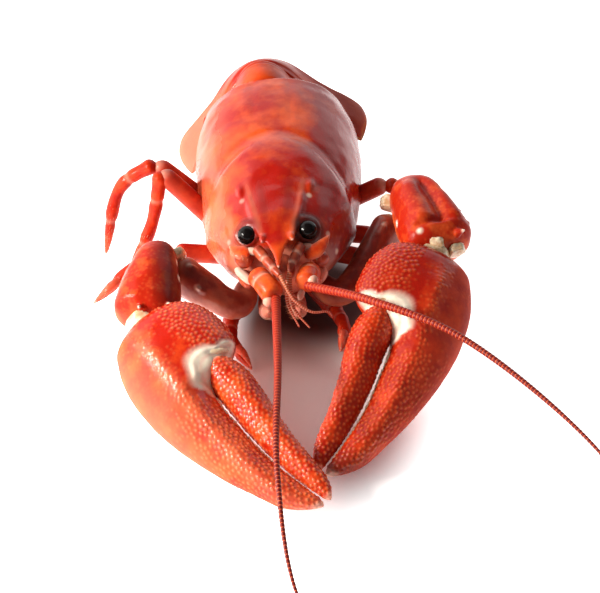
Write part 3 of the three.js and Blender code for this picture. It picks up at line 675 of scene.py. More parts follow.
def grain_tree():
    """Raises a skin into small round grains where its `grain` mark is above 0, and gives it a ripple."""
    flow, given = new_tree("grains", {**dict.fromkeys(GRAIN_SIZES, FLOAT), "Seed": WHOLE})
    mask = named(flow, "grain")
    inputs = {"Mesh": given["Geometry"], "Distance Min": given["Spacing"], "Density Max": GRAIN_DENSITY}
    inputs |= {"Density Factor": mask, "Seed": given["Seed"]}
    dots = flow.node("GeometryNodeDistributePointsOnFaces", {"distribute_method": "POISSON"}, inputs)
    size = random_size(flow, 0.55, 1.0)
    nearest = flow.node("GeometryNodeSampleNearest", {"domain": "POINT"}, {"Geometry": dots})
    inputs = {"Geometry": dots, "Value": size, "Index": nearest}
    size = flow.node("GeometryNodeSampleIndex", {"data_type": "FLOAT", "domain": "POINT"}, inputs)
    apart = flow.node("GeometryNodeProximity", {"target_element": "POINTS"}, {0: dots}, out="Distance")
    inputs = {0: apart, 1: 0.0, 2: given["Reach"], 3: 1.0, 4: 0.0}
    rise = flow.node("ShaderNodeMapRange", {"interpolation_type": "SMOOTHSTEP"}, inputs)
    kept = stored(flow, given["Geometry"], "granule", rise * size * mask)
    normal = flow.node("GeometryNodeInputNormal")
    place = flow.node("GeometryNodeInputPosition")
    inputs = {"Vector": place, "Scale": 1 / RIPPLE_SIZE, "Detail": 1.0}
    uneven = flow.node("ShaderNodeTexNoise", inputs=inputs)
    height = named(flow, "granule") * given["Height"] + (uneven - 0.5) * given["Ripple"]
    offset = flow.node("ShaderNodeVectorMath", {"operation": "SCALE"}, {0: normal, "Scale": height})
    raised = flow.node("GeometryNodeSetPosition", inputs={"Geometry": kept, "Offset": offset})
    return ended(flow, given, raised)


GRAINS = grain_tree()


def grained(piece, finish, seed, sizes):
    """Raises the grains of a piece: their spacing, reach and height, and the height of the ripple."""
    return grown(piece, GRAINS, **dict(zip(GRAIN_SIZES, sizes)), Seed=seed, Finish=finish)


print("tree:", GRAINS.name)


# %% Rings of a whip, and teeth along a line
def whip_tree():
    """Sweeps a line into a tapering whip of short rings, each a little fuller in its middle."""
    inputs = {"Root": FLOAT, "Tip": FLOAT, "Rings": WHOLE, "Groove": FLOAT, "Sides": WHOLE}
    flow, given = new_tree("whip", inputs)
    line = flow.node("GeometryNodeMeshToCurve", inputs={"Mesh": given["Geometry"]})
    inputs = {"Curve": line, "Count": given["Rings"] * 6.0 + 1.0}
    fine = flow.node("GeometryNodeResampleCurve", inputs=inputs)
    along = flow.node("GeometryNodeSplineParameter", out="Factor")
    phase = flow.math("FRACT", along * given["Rings"])
    hump = 1.0 - flow.math("ABSOLUTE", phase * 2.0 - 1.0) ** 4.0
    taper = given["Root"] + (given["Tip"] - given["Root"]) * along**1.1
    radius = taper * (1.0 - given["Groove"] * (1.0 - hump))
    kept = stored(flow, stored(flow, fine, "along", along), "ring", hump)
    inputs = {"Resolution": given["Sides"], "Radius": 1.0}
    section = flow.node("GeometryNodeCurvePrimitiveCircle", inputs=inputs)
    inputs = {"Curve": kept, "Profile Curve": section, "Scale": radius, "Fill Caps": True}
    swept = flow.node("GeometryNodeCurveToMesh", inputs=inputs)
    return ended(flow, given, swept)


def tooth_tree():
    """Small rounded teeth in a row along a line."""
    flow, given = new_tree("teeth", {"Count": WHOLE, "Size": FLOAT, "Seed": WHOLE})
    line = flow.node("GeometryNodeMeshToCurve", inputs={"Mesh": given["Geometry"]})
    points = flow.node("GeometryNodeResampleCurve", inputs={"Curve": line, "Count": given["Count"]})
    ball = flow.node("GeometryNodeMeshIcoSphere", inputs={"Radius": given["Size"], "Subdivisions": 2})
    size = random_size(flow, 0.5, 1.2, Seed=given["Seed"])
    inputs = {"Points": points, "Instance": ball, "Scale": size}
    return ended(flow, given, flow.node("GeometryNodeInstanceOnPoints", inputs=inputs))


def line_object(points):
    """A bare line through points, for a node tree to work on."""
    mesh = bpy.data.meshes.new("line")
    mesh.from_pydata(points, [(i, i + 1) for i in range(len(points) - 1)], [])
    return linked("line", mesh)


RINGS, TEETH = whip_tree(), tooth_tree()
print("trees:", RINGS.name, "and", TEETH.name)

# %% Bristles
BRISTLE_SIZES = ("Density", "Length", "Thickness")


def bristle_tree():
    """Thin cones that stand on a skin where its `hairy` mark is above 0, all swept one way."""
    inputs = {**dict.fromkeys(BRISTLE_SIZES, FLOAT), "Sweep": "NodeSocketVector", "Seed": WHOLE}
    flow, given = new_tree("bristles", inputs)
    density = named(flow, "hairy") * given["Density"]
    inputs = {"Mesh": given["Geometry"], "Density": density, "Seed": given["Seed"]}
    roots = flow.node("GeometryNodeDistributePointsOnFaces", inputs=inputs)
    normal = flow.node("GeometryNodeInputNormal")
    lean = flow.node("ShaderNodeVectorMath", {"operation": "ADD"}, {0: normal, 1: given["Sweep"]})
    turn = flow.node("FunctionNodeAlignRotationToVector", {"axis": "Z"}, {"Vector": lean})
    inputs = {"Vertices": 4, "Radius Top": 0.01, "Radius Bottom": given["Thickness"]}
    cone = flow.node("GeometryNodeMeshCone", inputs={**inputs, "Depth": given["Length"]})
    size = random_size(flow, 0.5, 1.1)
    inputs = {"Points": roots, "Instance": cone, "Rotation": turn, "Scale": size}
    return ended(flow, given, flow.node("GeometryNodeInstanceOnPoints", inputs=inputs))


BRISTLES = bristle_tree()


def bristles_on(piece, sizes, sweep, seed):
    """A new piece: the bristles that stand on a skin, by their density, length and thickness."""
    hair = linked("hair", piece.data.copy())
    sizes = dict(zip(BRISTLE_SIZES, sizes))
    return grown(hair, BRISTLES, **sizes, Sweep=Vector(sweep), Seed=seed, Finish=BRISTLE)


print("tree:", BRISTLES.name)

# %% [markdown]
# ## The carapace
# Head and chest are covered by one shell. A groove runs across its back, the rostrum juts out between the
# eyes with a raised edge on either side, and short ridges with pale tips stand behind the eyes. Cutting all
# this into one surface by hand is slow. Instead each form is a closed limb; a voxel remesh fuses them, and
# smoothing rounds the seams between them as on the grown shell.

# %% Place of the body
BODY_LEAN, LEAN_HEIGHT = math.radians(-5), 10
BODY_TURN, TURN_Y = math.radians(-2.5), -22


def about(point, turn):
    """A turn about a point instead of the origin."""
    return Matrix.Translation(point) @ turn @ Matrix.Translation(-Vector(point))


LEAN = about((0, 0, LEAN_HEIGHT), Matrix.Rotation(BODY_LEAN, 4, "Y"))
BODY_PLACE = LEAN @ about((0, TURN_Y, 0), Matrix.Rotation(BODY_TURN, 4, "Z"))
print("the body leans", round(math.degrees(BODY_LEAN), 1), "and turns", round(math.degrees(BODY_TURN), 1))

# %% Main shell
SHELL_LENGTH = 53
SHELL_HALF_WIDTH = 15.9
SHELL_TOP = 27
SHELL_WAIST = 11.5
ROSTRUM_TIP_Y = -26.5
FACE_AT = 0.11
SHELL_WIDTH = [(0, 0.47), (0.12, 0.67), (0.28, 0.865), (0.5, 0.98), (0.72, 1.01), (0.9, 0.99), (1, 0.92)]
SHELL_CROWN = [(0, 0.75), (0.12, 0.83), (0.28, 0.905), (0.44, 0.975), (0.56, 1), (0.7, 1)]
SHELL_CROWN += [(0.85, 0.995), (1, 0.97)]
SHELL_KEEL = [(0, 7.5), (0.15, 4.2), (0.28, 0.8), (0.36, -0.8), (0.52, -0.8), (0.62, 2)]
SHELL_KEEL += [(0.75, 3.4), (1, 5.5)]
GROOVE_AT, GROOVE_DEPTH = 0.605, 1.5
GROOVE_FRONT, GROOVE_BACK = 0.085, 0.11
RIM_AT, RIM_DEPTH = 0.945, 0.1
SEAM_ACROSS, SEAM_DEPTH = 0.2, 0.1
SOCKET_PLACE, SOCKET_RADIUS = np.array([5.6, -16.6, 20.4]), 2.5


def mirrored(side, points):
    return np.array(points, float) * (side, 1, 1)


def shell_relief(along, up, across):
    """Groove, hind rim, the two seams of the back and the tucked belly, in millimetres."""
    behind = along - GROOVE_AT
    dip = np.where(behind < 0, bell(behind, GROOVE_FRONT), np.exp(-np.abs(behind) / GROOVE_BACK))
    groove = GROOVE_DEPTH * dip * ease(-0.35, 0.1, up)
    rim = RIM_DEPTH * bell(along - RIM_AT, 0.03) * ease(-0.4, 0.0, up)
    seam = SEAM_DEPTH * bell(across - SEAM_ACROSS, 0.035) * ease(0.64, 0.7, along) * (up > 0)
    return -groove - rim - seam - 0.5 * ease(-0.42, -0.55, up) * np.sin(np.pi * along)


def shell_body(around=220, steps=260):
    """The main shell with its groove, its hind rim and the two hollows of the eye sockets."""
    along, angle = np.meshgrid(np.linspace(0, 1, steps + 1), around_angles(around), indexing="ij")
    up, across = np.cos(angle), np.abs(np.sin(angle))
    t = along - 0.2 * across**1.6 * bell(along - GROOVE_AT, 0.3) * np.sin(np.pi * along)
    swell = shell_relief(along, up, across)
    waist = SHELL_WAIST + 2 * (1 - np.minimum(1, t / 0.3))
    crown = through(SHELL_CROWN, t) * SHELL_TOP - waist
    high = np.where(up > 0, crown, waist - through(SHELL_KEEL, t)) + swell
    wide = through(SHELL_WIDTH, t) * SHELL_HALF_WIDTH + swell
    power = np.where(up < 0, 1.35, 0.92)
    opened = dome(t, (0.1, 0.026))
    x = wide * opened * bow(np.sin(angle), power)
    y = ROSTRUM_TIP_Y + SHELL_LENGTH * (FACE_AT + (1 - FACE_AT) * t)
    rings = np.stack([x, y, waist + high * opened * bow(up, power)], -1)
    for side in SIDES.values():
        offset = rings - mirrored(side, SOCKET_PLACE)
        length = np.linalg.norm(offset, axis=-1, keepdims=True)
        rings = rings + offset / length * np.maximum(0, SOCKET_RADIUS - length)
    return skin("shell body", rings)


print("shell with its rostrum:", SHELL_LENGTH, "mm long,", 2 * SHELL_HALF_WIDTH, "mm wide")

# %% Rostrum and ridges
ROSTRUM = [(0, 2, 22.4), (0, -8, 22.9), (0, -14, 22.4), (0, -20.5, 21), (0, ROSTRUM_TIP_Y + 0.4, 19.4)]
ROSTRUM_WIDTH = [(0, 4.2), (0.35, 4.6), (0.47, 4.3), (0.56, 3.9), (0.67, 3.2), (0.76, 2.5), (0.82, 1.7)]
ROSTRUM_WIDTH += [(0.9, 0.9), (1, 0.3)]
ROSTRUM_HEIGHT = [(0, 1.5), (0.35, 1.5), (0.6, 1.1), (1, 0.35)]
ROSTRUM_EDGE = [(5.0, -3, 22.2), (4.7, -8.5, 22.4), (4.0, -13, 22), (3.1, -17.2, 21.4), (2.3, -20.2, 20.8)]
# Line of each ridge of the right half, its radius in the middle and its radius at the tip
SHELL_RIDGES = [
    (ROSTRUM_EDGE, 1.15, 0.5),
    ([(2.4, -18.4, 21.4), (2.75, -20.8, 21.1)], 0.7, 0.2),
    ([(6.3, -4.2, 22.6), (6.25, -7, 22.8), (6.0, -9.4, 22.5)], 1.0, 0.45),
    ([(7.0, 0.4, 23.2), (7.5, -1.6, 23.1), (7.9, -3.2, 22.9)], 1.0, 0.5),
    ([(9, -10, 18.8), (9.0, -15.4, 18.1)], 1.0, 0.2),
    ([(10.6, -10.5, 14.8), (10.2, -15.6, 14.2)], 0.85, 0.2),
]
SHELL_VOXEL, SHELL_ROUNDS = 0.26, 8


def rostrum_dip(t, angle):
    """The rostrum's upper face is hollow between its raised edges."""
    return -0.4 * ease(0.2, 0.9, np.sin(angle)) * ease(0.3, 0.5, t) * ease(1.0, 0.7, t)


def carapace():
    parts = [shell_body()]
    options = {"caps": (0.05, 0.02), "relief": rostrum_dip, "steps": 90}
    rings, *_ = limb(ROSTRUM, ROSTRUM_WIDTH, ROSTRUM_HEIGHT, **options)
    parts.append(skin("rostrum", rings))
    options = {"up": (1, 0.2, 0.3), "caps": (0.2, 0.1), "around": 16, "steps": 24}
    for side in SIDES.values():
        for points, root, tip in SHELL_RIDGES:
            taper = [(0, 0.6 * root), (0.45, root), (1, tip)]
            rings, *_ = limb(mirrored(side, points), taper, taper, **options)
            parts.append(skin("ridge", rings))
    return fused("carapace_shell", parts, SHELL_VOXEL, SHELL_ROUNDS)


shell = carapace()
print("carapace fused from", 2 + 2 * len(SHELL_RIDGES), "limbs")

# %% [markdown]
# A fused shell has no stations left, so its colours are placed by where each point lies: cream on the tips
# of the spines, salmon low on the flanks, and more salmon on the left flank as painted light from the lamp
# on that side. Painted shade darkens the eye sockets, the hollow of the rostrum, the shaded cheek and the low
# right flank, and deepens the red on the front of the crown and the right side; pale lines on the rostrum's
# raised edges are a painted highlight. The right side is in the shade, so some of its marks are stronger.

# %% Marks of the carapace
PALE_TIPS = [(0, -26.2, 19.3), (2.75, -20.9, 21.1), (6.0, -9.7, 22.6), (9.0, -15.6, 18.1)]
PALE_TIPS += [(10.2, -15.8, 14.2)]
SHELL_GRAINS = (1.25, 0.55, 0.06, 0.5)


def near_spots(points):
    """How close each point is to a pale tip, and to the hollow of an eye, where shade is painted."""
    tips, sockets = np.zeros(len(points)), np.zeros(len(points))
    for side in SIDES.values():
        right = 0.5 + 0.5 * side
        for place in mirrored(side, PALE_TIPS):
            near = ease(0.75, 0.25, np.linalg.norm(points - place, axis=1))
            tips = np.maximum(tips, (0.25 + 0.35 * right) * near)
        socket = ease(3.9, 2.5, np.linalg.norm(points - mirrored(side, SOCKET_PLACE), axis=1))
        sockets = np.maximum(sockets, (0.55 + 0.35 * right) * socket)
    return tips, sockets


def shell_marks(points):
    """Where the carapace is pale or cream, deep red or dark as painted shade, pale as painted light, and
    where it has small grains.
    """
    x, y, z = points.T
    tips, sockets = near_spots(points)
    # cheek, low and hollows are painted shade: the shaded right cheek, the low right flank and the hollow
    # between the rostrum's edges.
    cheek = ease(5.5, 9.5, x) * ease(-2, -10, y) * ease(20, 16, z)
    low = ease(8, 13, x) * ease(15, 9, z)
    belly = ease(6, 3, z)
    face = ease(-15.5, -18.5, y) * ease(19.2, 18, z)
    # The left-only part of flank is painted light; front is painted shade on the front of the crown and the
    # right side; edges is a painted highlight on the rostrum's raised edges.
    flank = ease(15, 7, z) * 0.15 + 0.35 * ease(-7, -13, x) * ease(-20, -8, y)
    front = bell(x / 9, 1) * bell((y + 8) / 9, 1) * ease(20, 22, z) + ease(5, 11, x)
    edge = 3.1 + 0.19 * (y + 17.2)
    top = ease(-4, -9, y) * ease(20, 21, z)
    edges = bell(np.abs(x) - edge, 0.5) * ease(-21, -18, y) * top
    hollows = bell(np.abs(x) - 0.55 * edge, 0.9) * ease(-19, -14, y) * top
    return {
        "pale": capped(flank + 0.5 * belly + 0.5 * face + 0.4 * edges),
        "cream": capped(tips + 0.4 * belly + 0.15 * face),
        "deep": capped(front),
        "painted_shade": capped(sockets + 0.5 * cheek + 0.4 * low + 0.35 * hollows),
        "grain": ease(22, 15, z) * ease(5, 9, z) * ease(24, 10, y) * (1 - face),
    }


marked(shell.data, shell_marks(points_of(shell.data)))
grained(shell, SHELL["carapace"], 3, SHELL_GRAINS)
settle(shell, "shell", ["carapace"], place=BODY_PLACE)

# %% [markdown]
# ## Eyes
# A crayfish eye is a black polished ball on a short stalk, set in the hollow beside the rostrum. Two meshes
# could do, a sphere and a cylinder, but a seam would show between them. One limb makes both: it starts as
# the stalk and swells into the ball, and its rounded end is the cornea.

# %% Eyes
EYE_RADIUS = 1.75
EYE_PLACE = np.array([5.4, -16.8, 20.2])
STALK_REACH = np.array([-2.6, 0.6, -1.2])
EYE_SHAPE = [(0, 1.2), (0.24, 1.15), (0.32, 1.3), (0.42, 1.6), (0.58, EYE_RADIUS), (1, EYE_RADIUS)]
for name, side in SIDES.items():
    centre, reach = mirrored(side, EYE_PLACE), mirrored(side, STALK_REACH)
    length = np.linalg.norm(reach) + EYE_RADIUS
    route = [centre + reach, centre - unit(reach) * EYE_RADIUS]
    options = {"caps": (0.1, EYE_RADIUS / length), "around": 48, "steps": 64}
    rings, t, _ = limb(route, EYE_SHAPE, EYE_SHAPE, **options)
    eye = skin(f"eye_ball_{name}", rings, {"cornea": ease(0.36, 0.4, t)})
    settle(eye, "eye", [f"eye_{name}"], EYE, BODY_PLACE)

# %% [markdown]
# ## The curled tail
# Six rings of shell overlap like roof tiles and curl the tail under the body. Each is an arch across the
# back whose two ends hang down as flaps. One straight ring could be copied and bent, but each has flaps of
# its own. So a ring is worked out about the line that the tail curls round: an angle for how far it is along
# the curl, and a second one across the arch.

# %% Shape of a tail ring
TAIL_RADIUS = 13.1
TAIL_HALF_SPAN = 19.4
TAIL_BELLY = 6
TAIL_TWIST, TAIL_YAW = math.radians(-4.5), math.radians(4)
FLAP_LENGTH = 9
ARCH_SHARE = 0.6
BAND_RISE = [(0, -1.2), (0.25, -0.75), (0.32, -0.3), (0.75, -0.15), (0.9, 0.05), (1, 0)]
BAND_CREASE = 0.86
CURL_CENTRE = Matrix.Translation((-1.2, 28.5, TAIL_RADIUS + 0.6))
TAIL_TURN = Matrix.Rotation(TAIL_TWIST, 4, "Y") @ Matrix.Rotation(TAIL_YAW, 4, "Z")
TAIL_PLACE = BODY_PLACE @ CURL_CENTRE @ TAIL_TURN


def tail_band(start, end, span, flap, lie, around=180, steps=60):
    """Rings of points for one band of the tail, with how far along and how far across each of them is."""
    t, angle = np.meshgrid(placed(steps), around_angles(around), indexing="ij")
    across = np.sin(angle)
    opened = dome(t, (0.12, 0.05))
    outer = TAIL_RADIUS + through(BAND_RISE, t) - 0.12 * bell(t - BAND_CREASE, 0.03)
    edge = np.where(np.cos(angle) > 0.01, outer, TAIL_BELLY)
    full = flap + (edge - flap) * np.abs(np.cos(angle)) ** 1.15
    core = 0.5 * (outer + TAIL_BELLY)
    radius = core + (full - core) * opened
    turn = np.radians(start + (end - start) * t)
    flare = 1 - 0.4 * (1 - t) ** 2 - 0.12 * t**4
    wide = span * TAIL_HALF_SPAN * (ARCH_SHARE + (1 - ARCH_SHARE) * across**10 * flare)
    arch = np.stack([np.zeros_like(t), np.sin(turn) * radius, np.cos(turn) * radius], -1)
    middle, lie = math.radians(0.5 * (start + end)), math.radians(lie)
    slide = (t - 0.5) * FLAP_LENGTH
    hung_y = math.sin(middle) * radius + math.cos(lie) * slide
    hung_z = math.cos(middle) * radius - math.sin(lie) * slide
    hung = np.stack([np.zeros_like(t), hung_y, hung_z], -1)
    rings = arch + (hung - arch) * (opened * across**2)[..., None]
    rings[..., 0] += wide * opened * across
    return rings, t, across


print("the tail curls round a radius of", TAIL_RADIUS, "mm")

# %% Tail rings
# First and last angle along the curl, share of the span, reach of the flaps and the angle they lie at
TAIL_BANDS = {
    "tail_ring_1": (-24, 16, 0.58, 3, 4),
    "tail_ring_2": (12, 46, 1, -4.2, -15),
    "tail_ring_3": (42, 78, 0.72, -0.5, 60),
    "tail_ring_4": (74, 110, 0.74, 1, 92),
    "tail_ring_5": (106, 141, 0.7, 2, 123),
    "tail_ring_6": (137, 174, 0.64, 4.5, 155),
}
TAIL_GRAINS = (1.3, 0.5, 0.04, 0.4)


def band_marks(t, across):
    """Salmon on the left flaps as painted light, painted shade on the right ones, and a deep red crease
    before the hind rim.
    """
    flaps = ease(0.75, 1, np.abs(across))
    left = ease(-0.6, -0.95, across)
    crease = bell(t - BAND_CREASE, 0.03)
    return {
        "pale": capped(0.2 * flaps + 0.5 * left + 0.15 * ease(0.93, 1, t)),
        "cream": 0.06 * left,
        "deep": capped(0.35 * ease(0.35, 0.2, t) + 0.4 * crease + 0.3 * flaps),
        "painted_shade": 0.35 * ease(0.7, 0.95, across),
        "grain": 0.6 * ease(0.3, 0.4, t) * ease(0.85, 0.7, t),
    }


for name, band in TAIL_BANDS.items():
    rings, *where = tail_band(*band)
    ring = skin(f"{name}_shell", rings, band_marks(*where))
    grained(ring, SHELL["tail"], 6, TAIL_GRAINS)
    settle(ring, "tail", [name], place=TAIL_PLACE)

# %% [markdown]
# ## Tail fan
# The tail ends in five flat blades, folded under the body. A flat card would do from afar, but it would have
# no thickness. So each blade is a thin limb with a rib down its middle and finer ribs beside it. A fringe of
# bristles follows the hind rim; the same tree makes it on all the blades.

# %% Tail fan
FAN_ROOT = np.array([3, 25.2, 0.75])
# Angle from straight ahead, length and half-width
FAN_BLADES = {
    "telson": (0, 13.5, 5.0),
    "fan_inner_left": (-31, 12.5, 4.0),
    "fan_inner_right": (31, 12.5, 4.0),
    "fan_outer_left": (-60, 11.5, 3.7),
    "fan_outer_right": (60, 11.5, 3.7),
}
BLADE_SHAPE = [(0, 0.45), (0.35, 0.9), (0.75, 1), (1, 0.8)]
BLADE_HALF_THICKNESS = 0.6
BLADE_OFFSET = 4.2
FAN_HAIR = (9.0, 1.2, 0.07)
FAN_PLACE = Matrix.Rotation(TAIL_YAW + BODY_TURN, 4, "Z")


def blade_ribs(t, angle):
    """A rib along the middle of a blade, finer ones beside it."""
    return 0.12 * bell(np.cos(angle), 0.12) + 0.05 * np.cos(14 * np.cos(angle)) - 0.1


fringes = []
for name, (turn, length, half_width) in FAN_BLADES.items():
    heading = np.array([math.sin(math.radians(turn)), -math.cos(math.radians(turn)), 0])
    start = FAN_ROOT + heading * (BLADE_OFFSET if turn else 0)
    line = [start, start + heading * length]
    width = [(t, k * half_width) for t, k in BLADE_SHAPE]
    options = {"power": 0.8, "caps": (0.1, 0.22), "around": 72, "steps": 40, "relief": blade_ribs}
    rings, t, angle = limb(line, width, BLADE_HALF_THICKNESS, **options)
    rim = ease(0.6, 0.95, np.abs(np.cos(angle)) * ease(0.1, 0.4, t) + ease(0.8, 1, t))
    marks = {"pale": 0.7 * rim, "cream": 0.2 * rim, "hairy": ease(0.75, 0.95, t) * rim}
    blade = skin(f"{name}_blade", rings, marks)
    fringes.append(bristles_on(blade, FAN_HAIR, heading * 3, len(fringes)))
    settle(blade, "tail", [name], SHELL["tail"], FAN_PLACE)
settle(joined("tail_fringe", fringes), "tail", finish=BRISTLE, place=FAN_PLACE)

# %% [markdown]
# ## Claws
# The claw is the showpiece: a broad hand with one fixed and one moving finger, covered with grains that
# catch the light. It could be fused from limbs, but a remesh would blunt its edges. So its outline is two
# edges along the hand, and its section is a flat oval. On top run a ridge towards the outer edge and, along
# the fixed finger, a shallow groove. Soft cream skin wraps round the root of the moving finger: it is marked
# by its distance from a line along the hinge.

# %% Claw outlines
CLAW_LENGTH = 48.5
CLAW_HALF_WIDTH = 10.2
CLAW_HALF_THICKNESS = 5.4
HAND_OUTER = [(0, 0.5), (0.06, 0.74), (0.18, 0.99), (0.32, 1.08), (0.44, 1.06), (0.57, 0.95), (0.7, 0.8)]
HAND_OUTER += [(0.82, 0.6), (0.92, 0.4), (1, 0.04)]
HAND_INNER = [(0, -0.5), (0.05, -0.77), (0.14, -0.98), (0.25, -1), (0.31, -0.9), (0.35, -0.6)]
HAND_INNER += [(0.39, -0.15), (0.46, 0), (0.57, 0.04), (0.7, 0.06), (0.82, 0.02), (0.92, -0.05), (1, -0.13)]
HAND_THICK = [(0, 0.7), (0.1, 0.92), (0.25, 1), (0.4, 0.88), (0.62, 0.62), (0.85, 0.4), (1, 0.12)]
FINGER_FROM = 0.32
FINGER_OUTER = [(0, -0.2), (0.1, -0.07), (0.3, -0.025), (0.5, 0.01), (0.7, -0.015)]
FINGER_OUTER += [(0.85, -0.075), (1, -0.16)]
FINGER_INNER = [(0, -0.56), (0.08, -0.69), (0.16, -0.73), (0.28, -0.69), (0.45, -0.58), (0.62, -0.5)]
FINGER_INNER += [(0.8, -0.46), (0.92, -0.4), (1, -0.26)]
FINGER_THICK = [(0, 0.68), (0.12, 0.74), (0.5, 0.52), (0.85, 0.32), (1, 0.1)]


def flat_limb(side, start, outer, inner, thick, caps, around, steps, relief):
    """A flat limb between two edges: its rings, and the share along, the share across and the angle."""
    t, angle = np.meshgrid(placed(steps), around_angles(around), indexing="ij")
    u = start + (1 - start) * t
    edges = through(outer, t) * CLAW_HALF_WIDTH, through(inner, t) * CLAW_HALF_WIDTH
    opened = dome(t, caps)
    v = 0.5 * (edges[0] + edges[1]) + 0.5 * (edges[0] - edges[1]) * opened * np.cos(angle)
    high = through(thick, t) * CLAW_HALF_THICKNESS
    across = v / CLAW_HALF_WIDTH
    raised = relief(u, across) * opened * ease(0, 0.5, np.sin(angle)) * high / CLAW_HALF_THICKNESS
    w = high * opened * bow(np.sin(angle), 0.9) + raised
    return np.stack([CLAW_LENGTH * u, side * v, w], -1), u, across, angle


print("claws:", CLAW_LENGTH, "mm long,", 2 * CLAW_HALF_WIDTH, "mm wide")

# %% Relief of the claws
RIDGE_LINE = [(0, 0.28), (0.18, 0.3), (0.27, 0.33), (0.37, 0.36), (0.56, 0.43), (0.72, 0.42)]
RIDGE_LINE += [(0.86, 0.34), (1, 0.02)]
RIDGE_HEIGHT = 1.1
FINGER_GROOVE = [(0.38, 0.34), (0.55, 0.24), (0.7, 0.2), (0.9, 0.1)]
HINGE = [(0.325, -0.8), (0.335, -0.5), (0.34, -0.25), (0.37, -0.1), (0.42, -0.05)]
PATCH_REACH = 3.6
PATCH_SHAPE = [(0, 0.36), (0.28, 0.55), (0.52, 0.95), (0.7, 0.88), (0.85, 0.78), (1, 0.45)]


def hinge_distance(u, v):
    """How far a place on the hand is from the hinge of the moving finger, in shares of the uneven patch."""
    line = Route([(along * CLAW_LENGTH, across * CLAW_HALF_WIDTH, 0) for along, across in HINGE])
    shares = np.linspace(0, 1, 40)
    x, y = u * CLAW_LENGTH, v * CLAW_HALF_WIDTH
    apart = np.array([np.hypot(x - spot[0], y - spot[1]) for spot in line.at(shares)])
    share = shares[np.argmin(apart, axis=0)]
    reach = PATCH_REACH * (through(PATCH_SHAPE, share) + 0.06 * np.sin(23 * share))
    return np.min(apart, axis=0) / reach, share


def hand_relief(u, v):
    """Ridge, groove and the sunken, folded skin round the hinge on the upper face, in millimetres."""
    beyond = v - through(RIDGE_LINE, u)
    ridge = RIDGE_HEIGHT * np.exp(-np.hypot(beyond, 0.06) / 0.24)
    ridge = ridge * ease(0.02, 0.2, u) * (1 + 1.1 * ease(0.45, 0.75, u))
    groove = 0.4 * bell(v - through(FINGER_GROOVE, u), 0.09) * ease(0.42, 0.6, u) * ease(1, 0.8, u)
    apart, share = hinge_distance(u, v)
    folds = 0.1 * np.cos(26 * share) * ease(0.9, 0.5, apart) + 0.3 * bell(apart - 0.55, 0.18)
    return ridge - groove - 0.3 * ease(1.1, 0.4, apart) + folds


def finger_relief(u, v):
    """A ridge along the moving finger, and a groove beside its biting edge."""
    ridge = 0.5 * bell(v + 0.4, 0.2) * ease(0.4, 0.6, u)
    return ridge - 0.3 * bell(v + 0.16, 0.06) * ease(0.42, 0.55, u)


print("the ridge of a hand stands", RIDGE_HEIGHT, "mm high")

# %% Marks of the claws
# Salmon of the outer flank and of the belly, and the painted shade of the flank. The left claw's
# larger salmon shares are painted light from the lamp on the left; the right claw's flank and tip get
# painted shade instead.
HAND_FLANKS = {"left": (0.55, 0.3, 0.0), "right": (0.1, 0.0, 0.6)}


def hand_marks(u, v, angle, salmon, belly, painted_shade):
    """Where a hand is salmon, cream or deep red, where painted shade darkens it, and where its grains stand.
    Salmon along the ridge and the flank is partly painted light.
    """
    top = ease(-0.25, 0.15, np.sin(angle))
    apart, _ = hinge_distance(u, v)
    cream = ease(1.2, 0.5, apart) * (1 - 0.3 * bell(apart - 0.22, 0.1)) * ease(-0.1, 0.2, np.sin(angle))
    beyond = v - through(RIDGE_LINE, u)
    flank = ease(0.15, 0.75, beyond) * ease(1.0, 0.7, u)
    hump = ease(-0.05, -0.3, v) * ease(0.42, 0.34, u)
    finger = ease(0.36, 0.5, u)
    ridge = bell(beyond - 0.06, 0.14) * ease(0.05, 0.2, u)
    grainy = (0.3 + 0.7 * np.maximum(np.maximum(hump, finger), ridge)) * (1 - 0.6 * flank)
    return {
        "dull": ease(0.06, 0.24, beyond),
        "pale": capped(salmon * (flank + 0.6 * ridge) + belly * (1 - top)),
        "painted_shade": painted_shade * capped(flank * ease(0.35, 0.7, u) + ease(0.86, 0.97, u)),
        "cream": capped(np.maximum(cream, 0.35 * ease(0.97, 0.995, u))),
        "deep": 0.7 * ease(0.1, -0.3, beyond) * ease(0.5, 0.2, u) * top,
        "grain": capped(grainy * (1 - 1.4 * cream) * (0.3 + 0.7 * top)),
    }


def finger_marks(u, v, angle):
    """Cream at the root and the tip of a moving finger, and grains over the rest of it."""
    top = ease(-0.25, 0.15, np.sin(angle))
    root = ease(0.35, 0.33, u)
    return {
        "pale": 0.35 * (1 - top),
        "cream": np.maximum(0.7 * root, 0.35 * ease(0.97, 0.995, u)),
        "deep": 0.25 * ease(-0.5, -0.75, v),
        "grain": (1 - root) * (0.4 + 0.6 * top),
    }


print("salmon of the outer flanks:", {name: flank[0] for name, flank in HAND_FLANKS.items()})

# %% Where the arms bend
ARMS = {
    "left": {
        "girth": 0.9,
        "hip": (-5.6, -14, 7.2),
        "bend": (-8.4, -20.5, 7.2),
        "shoulder": (-20, -15, 12),
        "elbow": (-21.8, -14, 16.2),
        "cuff": (-24.8, -31.5, 12.7),
        "wrist": (-25.4, -31.5, 12.7),
        "tip": (4.2, -70.8, 2.4),
        "roll": 20,
    },
    "right": {
        "girth": 1.0,
        "hip": (5.8, -13.5, 7.4),
        "bend": (10.5, -18.5, 7.4),
        "shoulder": (22, -4.5, 13),
        "elbow": (23.9, -1.6, 19.4),
        "cuff": (28.6, -21.6, 17.6),
        "wrist": (27.2, -21.6, 17.6),
        "tip": (5.6, -61, 3.2),
        "roll": 16,
    },
}


